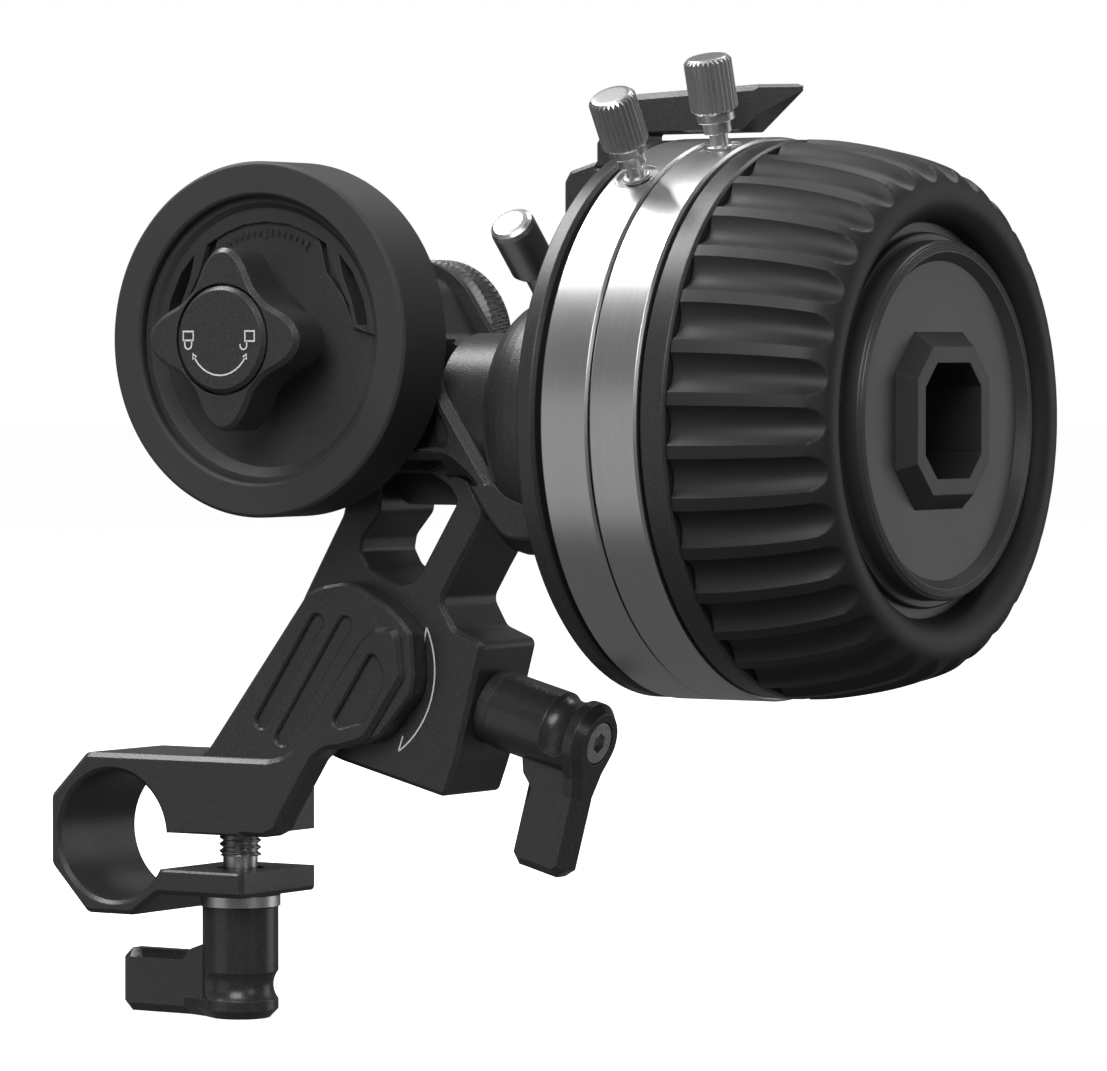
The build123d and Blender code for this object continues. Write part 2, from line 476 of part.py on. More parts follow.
# ================================================================ lens gear and its shaft
shaft = turn_y([(-16.9, 0), (-16.9, 1.7), (-16.6, 2.0), (-13.6, 2.0), (-13.6, 3.0), (-7.3, 3.0), (-7.3, 6.0), (-6.62, 6.0), (-6.62, 3.45),
                (-3.32, 3.45), (-3.32, 3.0), (16.25, 3.0), (16.25, 2.55), (16.8, 2.55), (16.8, 3.0), (20.8, 3.0), (20.8, 0)], GX, GZ)
shaft += tube_y(GX, GZ, 2.9, 4.6, 10.45, SPUR_Y0)
flats = box(GX - 4, GX - 2.4, -13.7, -7.35, GZ - 4, GZ + 4) + box(GX + 2.4, GX + 4, -13.7, -7.35, GZ - 4, GZ + 4)
shaft -= flats
shaft -= rod_y(GX, GZ, 1.25, -17, -10)
shaft -= rod_y(GX, GZ, 1.25, 14, 22)
keep("gear_shaft", shaft)

# 43 teeth, 0.8 module, under the rubber cover
g_pts = spur_points(TEETH, MODULE, math.pi / 2, 0.1)
teeth = Plane(origin=(GX, -8.0, GZ), x_dir=(1, 0, 0), z_dir=(0, -1, 0)) * make_face(Polyline(*g_pts, close=True).edges())
gear = extrude(teeth, amount=6.6, dir=(0, -1, 0))
gear -= turn_y([(-16, 0), (-16, 16.7), (-14.6, 15.3), (-13.6, 14.2), (-13.6, 0)], GX, GZ)      # dished front
gear -= tube_y(GX, GZ, 6.4, 14.6, -11.4, -7)                                                    # hollow back
gear += rod_y(GX, GZ, 6.4, -12.0, -7.3)
# raised crescent round the top of the dish
cres = []
for a in range(178, 1, -4):
    cres.append((14.6 * math.cos(math.radians(a)), 14.6 * math.sin(math.radians(a))))
cres += [(14.6, 0.5), (11.7, 1.3), (11.2, 3.8), (9.2, 7.3), (8.1, 10.6), (5.6, 11.9), (3.0, 12.8), (0, 13.1), (-3.0, 12.8), (-5.6, 11.9), (-8.1, 10.6),
         (-9.2, 7.3), (-11.2, 3.8), (-11.7, 1.3), (-14.6, 0.5)]
gear += plate([(GX + x, GZ + z) for x, z in cres], -14.0, -13.0)
for s in (1, -1):
    gear -= plate([(GX + s * x, GZ + z) for x, z in [(9.75, 9.6), (10.4, 6.9), (11.6, 4.1), (12.3, 1.6), (13.85, 0.7), (13.2, 4.2), (11.7, 7.4)]], -16, -10)
    gear -= plate([(GX + s * x, GZ + z) for x, z in [(6.9, 11.3), (8.05, 10.6), (9.15, 7.3), (11.15, 3.9), (11.4, 1.7), (10.2, 4.6), (7.9, 7.4)]], -16, -12.6)
gear -= rod_y(GX, GZ, 3.02, -15, -7) - flats
keep("drive_gear", gear)
keep("gear_cover_ring", turn_y([(-15.9, 16.0), (-15.9, 19.45), (-15.55, TYRE_R), (-7.65, TYRE_R), (-7.3, 19.45), (-7.3, 17.2), (-7.95, 17.2), (-7.95, 18.05),
                                (-14.65, 18.05), (-14.65, 16.0)], GX, GZ))

# quarter-turn lock knob with four lobes
def lobed(r_tip, r_waist, n=96):
    pts = []
    for i in range(n):
        a = 2 * math.pi * i / n
        k = 0.5 + 0.5 * math.cos(4 * a)
        k = k ** 1.35
        pts.append((GX + (r_waist + (r_tip - r_waist) * k) * math.cos(a), GZ + (r_waist + (r_tip - r_waist) * k) * math.sin(a)))
    return pts
kw = Spline(*[Vector(GX + x - GX, z, 0) for x, z in lobed(10.1, 6.75)], periodic=True)
kf = Plane(origin=(0, -17.1, 0), x_dir=(1, 0, 0), z_dir=(0, -1, 0)) * make_face(kw.edges())
knob = extrude(kf, amount=5.3, dir=(0, -1, 0))
knob = chamfer(outer_edges_y(knob, -22.4), 0.5)
knob += rod_y(GX, GZ, 6.0, -17.3, -13.75)
knob -= rod_y(GX, GZ, 6.2, -23, -21.5)
knob -= rod_y(GX, GZ, 2.05, -17.1, -13)
knob -= rod_y(GX, GZ, 1.35, -22, -17)
knob -= rod_y(GX, GZ, 2.4, -22, -19.4)
keep("gear_lock_knob", knob)
keep("gear_lock_cap", turn_y([(-22.8, 0), (-22.8, 5.45), (-22.35, 5.9), (-21.5, 5.9), (-21.5, 0)], GX, GZ))
keep("gear_lock_screw", along((GX, -19.42, GZ), (0, 1, 0)) * socket_screw(1.25, 6.0, 2.3, 1.9, 1.6))

# knurled knob behind
rk = turn_y([(17.4, 0), (17.4, 7.9), (17.9, 8.4), (18.3, 9.35), (21.9, 9.35), (22.4, 8.85), (22.4, 0)], GX, GZ)
rk -= rod_y(GX, GZ, 3.0, 17, 20.8)
rk -= along((GX, 22.4, GZ), (0, -1, 0)) * flat_hole(1.3, 3, 2.6)
keep("rear_knob", rk)
keep("rear_knob_screw", along((GX, 22.4, GZ), (0, -1, 0)) * flat_screw(1.25, 7.0, 2.6, 1.5))
keep("gear_circlip", tube_y(GX, GZ, 2.58, 3.9, 16.27, 16.77) - box(GX - 0.8, GX + 0.8, 16, 17, GZ - 5, GZ))

inner, outer, balls = ball_bearing(3.0, 5.0, 2.5, 9, 0.6)
front = along((GX, COVER_Y1 + 0.01, GZ), (0, 1, 0))
back = along((GX, 13.68, GZ), (0, 1, 0))
gear_outers = [front * outer, back * outer]
keep("gear_bearing_inner_rings", group([front * inner, back * inner]))
keep("gear_bearing_balls", group([front * b for b in balls] + [back * b for b in balls]))


def spur_gear(n, phase, cz, bore_r, y0, y1):
    pts = spur_points(n, SPUR_M, phase, 0.08)
    f = Plane(origin=(GX, y1, cz), x_dir=(1, 0, 0), z_dir=(0, -1, 0)) * make_face(Polyline(*pts, close=True).edges())
    return extrude(f, amount=y1 - y0, dir=(0, -1, 0)) - rod_y(GX, cz, bore_r, y0 - 1, y1 + 1)


keep("output_spur_gear", spur_gear(SPUR_OUT, -math.pi / 2 + math.pi / SPUR_OUT, GZ, 3.0, SPUR_Y0, SPUR_Y1))

# ================================================================ idler
keep("idler_shaft", turn_y([(-2.2, 0), (-2.2, 1.75), (16.2, 1.75), (16.2, 0)], GX, WZ))
keep("idler_spur_gear", spur_gear(SPUR_IN, math.pi / 2, WZ, 1.75, SPUR_Y0, SPUR_Y1))


def bevel_gear(phase, hub_len, bore_r):
    """Along +Z from its apex at the origin."""
    d1, d2 = BEV_R, 2.45
    f1 = Plane(origin=(0, 0, d1)) * make_face(Polyline(*bevel_points(BEV_N, BEV_R, d1, phase), close=True).edges())
    f2 = Plane(origin=(0, 0, d2)) * make_face(Polyline(*bevel_points(BEV_N, BEV_R, d2, phase), close=True).edges())
    g = loft([f2, f1], ruled=True)
    g += rod_z(0, 0, 3.0, d1 - 0.2, d1 + hub_len)
    return g - rod_z(0, 0, bore_r, 0, d1 + hub_len + 1)


# a tooth of the handwheel bevel points to +Y, where the idler bevel has a gap
keep("idler_bevel_gear", Plane(origin=(GX, WY, WZ), x_dir=(1, 0, 0), z_dir=(0, 1, 0)) * bevel_gear(math.pi / BEV_N, 1.9, 1.75))
keep("wheel_bevel_gear", Plane(origin=(GX, WY, WZ), x_dir=(0, 1, 0), z_dir=(1, 0, 0)) * bevel_gear(0.0, 2.4, 1.5))
ib = turn_z([(0, 1.78), (0, 2.5), (1.8, 2.5), (1.8, 1.78)])
keep("idler_bushes", group([along((GX, -2.3, WZ), (0, 1, 0)) * ib, along((GX, 9.7, WZ), (0, 1, 0)) * turn_z([(0, 1.78), (0, 2.5), (0.6, 2.5), (0.6, 1.78)]),
                            along((GX, 15.0, WZ), (0, 1, 0)) * turn_z([(0, 1.78), (0, 2.5), (1.35, 2.5), (1.35, 1.78)])]))

# ================================================================ handwheel
ws = turn_x([(GX + 2.5, 0), (GX + 2.5, 1.5), (GX + 6.0, 1.5), (GX + 6.0, 2.6), (34.0, 2.6), (34.0, 3.8), (46.0, 3.8), (46.0, 4.0),
             (50.0, 4.0), (50.0, 4.6), (53.9, 4.6), (53.9, 4.0), (58.3, 4.0), (58.3, 8.0), (59.9, 8.0), (59.9, 6.4), (62.7, 6.4), (62.7, 8.0),
             (64.3, 8.0), (64.3, 5.0), (76.0, 5.0), (76.0, 4.0), (92.4, 4.0), (92.4, 0)])
ws -= rod_x(84, 93, 2.0)
keep("wheel_shaft", ws)
inner, outer, balls = ball_bearing(4.0, 8.0, 4.0, 9, 1.19)
bp1 = along((46.0, WY, WZ), (1, 0, 0))
bp2 = along((53.95, WY, WZ), (1, 0, 0))
keep("bearing_outer_rings", group(gear_outers + [bp1 * outer, bp2 * outer]))
keep("wheel_bearing_inner_rings", group([bp1 * inner, bp2 * inner]))
keep("wheel_bearing_balls", group([bp1 * b for b in balls] + [bp2 * b for b in balls]))

CORE_SCREWS = [(13.0 * math.cos(math.radians(a)), 13.0 * math.sin(math.radians(a))) for a in (45, 135, 225, 315)]
drum = turn_x([(70.4, 24.0), (70.4, 28.6), (70.85, 28.6), (70.85, DRUM_R), (83.0, DRUM_R), (83.0, 4.0), (76.1, 4.0), (76.1, 8.5), (80.0, 8.5), (80.0, 24.0)])
flange = turn_x([(83.0, 9.0), (83.0, 29.9), (83.4, 30.35), (85.9, 30.35), (86.2, 30.1), (86.2, 9.0)])
core = turn_x([(86.2, 4.0), (86.2, 21.3), (100.2, 21.3), (100.2, 18.8), (89.4, 18.8), (89.4, 15.5), (89.4, 9.0), (92.45, 9.0), (92.45, 4.0)])
core += tube_x(83.0, 86.3, 4.0, 9.0)
for y, z in CORE_SCREWS:
    drum -= rod_x(79, 84, 1.6, WY + y, WZ + z)
    flange -= rod_x(82, 87, 1.6, WY + y, WZ + z)
    core -= rod_x(86, 89.0, 1.5, WY + y, WZ + z)
keep("wheel_drum", drum)
keep("wheel_flange", flange)
keep("wheel_core", core)
keep("wheel_core_screws", group([along((80.0, WY + y, WZ + z), (1, 0, 0)) * socket_screw(1.5, 8.8, 2.75, 2.6, 2.5) for y, z in CORE_SCREWS]))

GRIP = [(86.3, 21.3), (86.3, 30.4), (89, 30.25), (92, 29.85), (95, 29.3), (97.5, 28.7), (99.5, 28.1), (101, 27.5), (102.1, 26.7), (102.9, 25.7),
        (103.25, 24.6), (103.2, 23.5), (102.7, 22.5), (101.8, 21.7), (100.6, 21.3)]
keep("wheel_grip", turn_x(GRIP))

hub = turn_x([(98.6, 8.6), (98.6, 18.8), (100.2, 18.8), (100.2, 20.2), (100.9, 20.2), (101.1, 20.0), (101.1, 19.3), (103.0, 19.3), (103.4, 18.9),
              (103.4, 18.0), (102.3, 17.2), (102.1, 8.6)])
keep("hub_plate", hub)


def cut_square(half, corner):
    c = half - corner
    return [(half, c), (c, half), (-c, half), (-half, c), (-half, -c), (-c, -half), (c, -half), (half, -c)]


f_base = Plane(origin=(102.15, WY, WZ), x_dir=(0, 1, 0), z_dir=(1, 0, 0)) * closed(cut_square(9.5, 4.3))
f_top = Plane(origin=(104.0, WY, WZ), x_dir=(0, 1, 0), z_dir=(1, 0, 0)) * closed(cut_square(7.9, 3.4))
sock = loft([f_base, f_top], ruled=True)
sock += rod_x(92.5, 102.2, 8.55)
sock -= plate_x([(WY + y, WZ + z) for y, z in cut_square(6.2, 2.6)], 94.2, 105)
sock -= rod_x(92, 95, 2.1)
keep("crank_socket", sock)
keep("wheel_centre_screw", along((94.2, WY, WZ), (-1, 0, 0)) * socket_screw(2.0, 9.0, 3.5, 2.4, 2.5))

# ================================================================ fixed back plate and index
bp = turn_x([(67.8, 12.0), (67.8, 30.2), (68.2, 30.6), (69.7, 30.6), (70.1, 30.2), (70.1, 12.0)])
for y, z in PLATE_SCREWS:
    bp -= along((70.1, WY + y, WZ + z), (-1, 0, 0)) * flat_hole(1.6, 9, 2.9)
INDEX_SCREWS = [(1.9, 22.6), (1.9, 26.2)]
for y, z in INDEX_SCREWS:
    bp -= along((70.1, WY + y, WZ + z), (-1, 0, 0)) * flat_hole(1.3, 9, 2.4)
keep("back_plate", bp)
keep("back_plate_screws", group([along((70.1, WY + y, WZ + z), (-1, 0, 0)) * flat_screw(1.5, 9.0, 2.9, 2.0) for y, z in PLATE_SCREWS]))

# its top slopes up towards the plate
ix = plate([(56.1, 69.9), (56.1, 74.35), (56.85, 75.55), (67.8, 78.7), (67.8, 68.4), (58.4, 68.4)], 1.5, 9.8,
           [1, 0.6, 0.8, 0, 0, 1])
ix = bevel(ix, outer_edges_y(ix, 1.5) + outer_edges_y(ix, 9.8), 0.42)
ix -= box(60.3, 66.1, 1.0, 6.55, 75.8, 80)
for y, z in INDEX_SCREWS:
    ix -= rod_x(65.0, 69, 1.25, WY + y, WZ + z)
ix -= rod_z(63.4, 4.0, 1.5, 70.0, 77)
keep("index_block", ix)
arm = plate([(60.4, 75.85), (60.4, 78.6), (65.0, 83.85), (84.2, 84.75), (84.2, 84.1), (78.9, 79.5), (66, 79.5), (66, 75.85)], 1.5, 6.5,
            [0, 0.5, 1.0, 0, 0.2, 0.6, 0.3, 0])
# its nose is cut back in plan
arm -= prism_z([(80.7, 1.0), (80.7, 1.5), (84.0, 6.1), (84.0, 7.0), (86, 7.0), (86, 1.0)], 70, 90)
def sloped_cut(origin, x_dir, z_dir, pts, length):
    return extrude(Plane(origin=origin, x_dir=x_dir, z_dir=z_dir) * closed(pts), amount=length, dir=z_dir)
arm -= sloped_cut((60, 1.5, 83.6156), (0, 1, 0), (0.9989, 0, 0.04683), [(0, -0.7), (0.8, 0), (0.8, 2), (-1, 2), (-1, -0.7)], 28)
arm -= sloped_cut((60, 6.5, 83.6156), (0, 1, 0), (0.9989, 0, 0.04683), [(0, -0.4), (-0.4, 0), (-0.4, 2), (1, 2), (1, -0.4)], 28)
arm -= sloped_cut((80.12, 0.69, 84.559), (-0.813, 0.5822, 0), (0.5818, 0.8125, 0.0273), [(0, -0.4), (0.5, 0), (0.5, 2), (-1, 2), (-1, -0.4)], 8)
arm -= turn_z([(70, 0), (70, 1.6), (77.9, 1.6), (77.9, 2.2), (86, 2.2), (86, 0)], 63.4, 4.0)
keep("index_arm", arm)
keep("index_screws", group([along((70.1, WY + y, WZ + z), (-1, 0, 0)) * flat_screw(1.25, 5.0, 2.4, 1.5) for y, z in INDEX_SCREWS]
                           + [along((63.4, 4.0, 77.9), (0, 0, -1)) * socket_screw(1.5, 7.5, 2.15, 1.4, 1.6)]))

# ================================================================ release pin
keep("release_pin_bush", pin_place * turn_z([(8.9, 2.4), (8.9, 3.2), (16.9, 3.2), (17.2, 2.9), (17.2, 1.55), (16.3, 1.55), (16.3, 2.4)]))
keep("release_pin", pin_place * turn_z([(6.6, 0), (6.6, 0.9), (6.9, 1.2), (10.6, 1.2), (10.6, 2.32), (11.4, 2.32), (11.4, 1.5), (23.0, 1.5), (23.2, 2.1), (23.8, 2.5),
                                        (29.3, 2.5), (29.85, 2.35), (30.15, 2.0), (30.3, 1.5), (30.3, 0)]))
keep("release_pin_spring", pin_place * coil(1.98, 0.4, 13.5, 16.25, 5))

# ================================================================ stop rings and their screws
def stop_ring(x0, x1, xs, deg):
    r = turn_x([(x0, RING_IN), (x0, RING_R - 0.25), (x0 + 0.25, RING_R), (x1 - 0.25, RING_R), (x1, RING_R - 0.25), (x1, RING_IN)])
    pl = Plane(origin=(xs, WY, WZ), x_dir=(1, 0, 0), z_dir=(0, -math.sin(math.radians(deg)), math.cos(math.radians(deg))))
    r -= pl * rod_z(0, 0, 1.25, 25, 33)
    r -= pl * rod_z(0, 0, 2.4, 30.3, 33)        # spot face round the screw
    return r, pl


ra, pa = stop_ring(RING_A[0], RING_A[1], STOP_A_X, STOP_A_DEG)
rb, pb = stop_ring(RING_B[0], RING_B[1], STOP_B_X, STOP_B_DEG)
keep("stop_ring_a", ra)
keep("stop_ring_b", rb)
knob_prof = [(27.05, 0), (27.05, 1.0), (27.25, 1.2), (30.4, 1.2), (30.4, 1.5), (30.8, 1.5), (30.95, 1.35), (30.95, 1.0), (32.3, 1.0), (32.3, 1.55), (33.6, 1.55),
             (33.6, 2.06), (34.55, 2.06), (34.9, 2.6), (40.25, 2.6), (40.6, 2.3), (40.7, 2.1), (40.7, 0)]
keep("stop_screw_a", pa * turn_z(knob_prof))
keep("stop_screw_b", pb * turn_z(knob_prof))

for name, shape in PARTS.items():
    export_step(shape, "parts/" + name + ".step")
    print(name, len(shape.solids()), round(shape.volume, 2))
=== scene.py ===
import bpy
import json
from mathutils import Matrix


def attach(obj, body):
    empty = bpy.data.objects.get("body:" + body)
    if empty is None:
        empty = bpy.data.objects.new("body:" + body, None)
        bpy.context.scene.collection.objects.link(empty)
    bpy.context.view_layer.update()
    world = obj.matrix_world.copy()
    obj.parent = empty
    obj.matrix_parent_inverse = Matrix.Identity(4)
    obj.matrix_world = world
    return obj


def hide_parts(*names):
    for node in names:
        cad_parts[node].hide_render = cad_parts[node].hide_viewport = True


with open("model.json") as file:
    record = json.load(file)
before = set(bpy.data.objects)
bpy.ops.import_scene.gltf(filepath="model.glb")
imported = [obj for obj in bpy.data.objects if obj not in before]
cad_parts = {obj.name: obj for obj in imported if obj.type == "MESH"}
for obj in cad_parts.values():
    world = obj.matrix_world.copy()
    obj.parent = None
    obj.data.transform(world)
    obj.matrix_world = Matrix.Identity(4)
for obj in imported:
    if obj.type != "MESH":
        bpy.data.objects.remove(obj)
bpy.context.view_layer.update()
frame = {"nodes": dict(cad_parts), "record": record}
import json
import math

import bmesh
import bpy
import numpy as np
from mathutils import Matrix, Vector

NODES = frame["nodes"]
TAU = 2 * math.pi

# ------------------------------------------------------------------ sizes, in millimetres, as in the part
GX, GZ = 26.75, 56.9              # lens gear axis
WY, WZ = 4.0, 48.15               # handwheel axis
PX, PZ = 31.0, 20.0               # swing pivot
LOCK_DEG, LOCK_Y, LOCK_IN = 15.0, 2.4, 17.6
STUD_X, STUD_Y = 12.8, 0.5
GRIP = [(86.3, 21.3), (86.3, 30.4), (89, 30.25), (92, 29.85), (95, 29.3), (97.5, 28.7), (99.5, 28.1), (101, 27.5), (102.1, 26.7),
        (102.9, 25.7), (103.25, 24.6), (103.2, 23.5), (102.7, 22.5), (101.8, 21.7), (100.6, 21.3)]
RIBS, RIB_PITCH, RIB_FIRST = 34, 10.588, -5.9


# ------------------------------------------------------------------ mesh helpers
def make(name, verts, faces, mat, body, stands_for=(), sharp=32.0, smooth=True):
    """A mesh piece from millimetre coordinates."""
    me = bpy.data.meshes.new(name)
    me.from_pydata([tuple(float(c) / 1000.0 for c in v) for v in verts], [], [tuple(int(i) for i in f) for f in faces])
    me.validate()
    if smooth:
        me.shade_smooth()
        me.set_sharp_from_angle(angle=math.radians(sharp))
    me.materials.append(mat)
    o = bpy.data.objects.new(name, me)
    bpy.context.scene.collection.objects.link(o)
    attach(o, body)
    if stands_for:
        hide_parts(*stands_for)
    return o


def basis(axis, ref):
    a = np.array(axis, float); a /= np.linalg.norm(a)
    e1 = np.array(ref, float); e1 -= a * (e1 @ a); e1 /= np.linalg.norm(e1)
    return a, e1, np.cross(a, e1)


def grid_solid(pts, closed_profile):
    """pts is (rows, columns, 3), columns going round. Quads, with the end rows closed by fans where the profile is open."""
    nr, nc = pts.shape[:2]
    verts = pts.reshape(-1, 3).tolist()
    faces = []
    rows = nr if closed_profile else nr - 1
    for i in range(rows):
        a, b = i * nc, ((i + 1) % nr) * nc
        for j in range(nc):
            k = (j + 1) % nc
            faces.append((a + j, b + j, b + k, a + k))
    if not closed_profile:
        verts.append(pts[0].mean(0).tolist()); verts.append(pts[-1].mean(0).tolist())
        c0, c1 = nr * nc, nr * nc + 1
        for j in range(nc):
            k = (j + 1) % nc
            faces.append((c0, j, k))
            faces.append((c1, (nr - 1) * nc + k, (nr - 1) * nc + j))
    return verts, faces


def lathe(profile, origin, axis, ref, n, radius=None, closed=True):
    """profile is [(s, r)]. radius(s, r, angle array) may change r round the turn."""
    a, e1, e2 = basis(axis, ref)
    t = np.linspace(0, TAU, n, endpoint=False)
    o = np.array(origin, float)
    rows = []
    for s, r in profile:
        rr = np.full(n, float(r)) if radius is None else radius(s, r, t)
        rows.append(o + a * s + np.outer(rr * np.cos(t), e1) + np.outer(rr * np.sin(t), e2))
    return grid_solid(np.array(rows), closed)


def outward(verts, faces):
    """Turns all faces round if the solid's volume comes out negative."""
    v = np.array(verts, float)
    total = 0.0
    for f in faces:
        p = v[list(f)]
        for i in range(1, len(f) - 1):
            total += np.dot(p[0], np.cross(p[i], p[i + 1]))
    return [tuple(reversed(f)) for f in faces] if total < 0 else faces


def join(parts):
    verts, faces = [], []
    for v, f in parts:
        n = len(verts)
        verts += [list(p) for p in v]
        faces += [tuple(i + n for i in q) for q in outward(v, f)]
    return verts, faces


def resample(pts, step, keep_corner=25.0):
    """A polyline with extra points, so that no run is longer than step."""
    out = [pts[0]]
    for p, q in zip(pts[:-1], pts[1:]):
        n = max(1, int(math.ceil(math.dist(p, q) / step)))
        out += [(p[0] + (q[0] - p[0]) * i / n, p[1] + (q[1] - p[1]) * i / n) for i in range(1, n + 1)]
    return out


def spline(pts, per):
    """Catmull-Rom through the points (centripetal), per steps a span."""
    p = np.array(pts, float)
    p = np.vstack([2 * p[0] - p[1], p, 2 * p[-1] - p[-2]])
    out = []
    for i in range(1, len(p) - 2):
        k = [0.0]
        for j in range(3):
            k.append(k[-1] + max(1e-6, np.linalg.norm(p[i + j] - p[i + j - 1]) ** 0.5))
        for t in np.linspace(k[1], k[2], per, endpoint=False):
            a = [(k[j + 1] - t) / (k[j + 1] - k[j]) * p[i - 1 + j] + (t - k[j]) / (k[j + 1] - k[j]) * p[i + j] for j in range(3)]
            b = [(k[j + 2] - t) / (k[j + 2] - k[j]) * a[j] + (t - k[j]) / (k[j + 2] - k[j]) * a[j + 1] for j in range(2)]
            out.append((k[2] - t) / (k[2] - k[1]) * b[0] + (t - k[1]) / (k[2] - k[1]) * b[1])
    out.append(p[-2])
    return [tuple(q) for q in out]


def ribbon(line, width, closed=False):
    """Outline of a stroke along a 2-D line, as a strip of quads: list of (left, right) points."""
    p = np.array(line, float)
    n = len(p)
    out = []
    for i in range(n):
        a = p[(i - 1) % n] if closed or i > 0 else p[i]
        b = p[(i + 1) % n] if closed or i < n - 1 else p[i]
        d = b - a
        d /= max(1e-9, np.linalg.norm(d))
        if 0 < i < n - 1 or closed:
            u, w = p[i] - a, b - p[i]
            cosine = float(np.dot(u, w) / max(1e-9, np.linalg.norm(u) * np.linalg.norm(w)))
            k = 1 / max(0.5, math.sqrt(max(0.05, (1 + cosine) / 2)))
        else:
            k = 1.0
        nrm = np.array([-d[1], d[0]]) * width / 2 * k
        out.append((p[i] + nrm, p[i] - nrm))
    return out


def stroke(line, width, y0, y1, closed=False, place=None):
    """A thin raised stroke: 2-D (x, z) line, from plane y0 (surface) to y1 (top)."""
    rb = ribbon(line, width, closed)
    verts, faces = [], []
    for l, r in rb:
        for q in (l, r):
            for y in (y0, y1):
                verts.append((q[0], y, q[1]) if place is None else place(q[0], y, q[1]))
    n = len(rb)
    for i in range(n if closed else n - 1):
        a, b = 4 * i, 4 * ((i + 1) % n)
        faces += [(a + 1, a + 3, b + 3, b + 1), (a, b, b + 2, a + 2), (a, a + 1, b + 1, b), (a + 2, b + 2, b + 3, a + 3)]
    if not closed:
        faces += [(0, 2, 3, 1), (4 * n - 4, 4 * n - 3, 4 * n - 1, 4 * n - 2)]
    return verts, faces


def slab(outline, y0, y1):
    """A convex 2-D outline in X-Z between two planes."""
    n = len(outline)
    verts = [(x, y0, z) for x, z in outline] + [(x, y1, z) for x, z in outline]
    faces = [tuple(range(n)), tuple(range(2 * n - 1, n - 1, -1))]
    faces += [(i, n + i, n + (i + 1) % n, (i + 1) % n) for i in range(n)]
    return verts, faces


def arc(cx, cz, r, a0, a1, n):
    return [(cx + r * math.cos(math.radians(a0 + (a1 - a0) * i / n)), cz + r * math.sin(math.radians(a0 + (a1 - a0) * i / n))) for i in range(n + 1)]


# ------------------------------------------------------------------ materials
def node(nt, kind, **values):
    n = nt.nodes.new(kind)
    for k, v in values.items():
        if hasattr(n, k) and k not in n.inputs:
            setattr(n, k, v)
        else:
            n.inputs[k].default_value = v
    return n


def ramp(nt, source, stops):
    r = nt.nodes.new("ShaderNodeValToRGB")
    while len(r.color_ramp.elements) < len(stops):
        r.color_ramp.elements.new(0.5)
    for e, (pos, val) in zip(r.color_ramp.elements, stops):
        e.position = pos
        e.color = (val, val, val, 1)
    nt.links.new(source, r.inputs["Fac"])
    return r.outputs["Color"]


def maths(nt, op, a, b=None, clamp=False):
    m = nt.nodes.new("ShaderNodeMath")
    m.operation = op
    m.use_clamp = clamp
    for i, x in enumerate((a, b)):
        if x is None:
            continue
        if isinstance(x, (int, float)):
            m.inputs[i].default_value = x
        else:
            nt.links.new(x, m.inputs[i])
    return m.outputs[0]


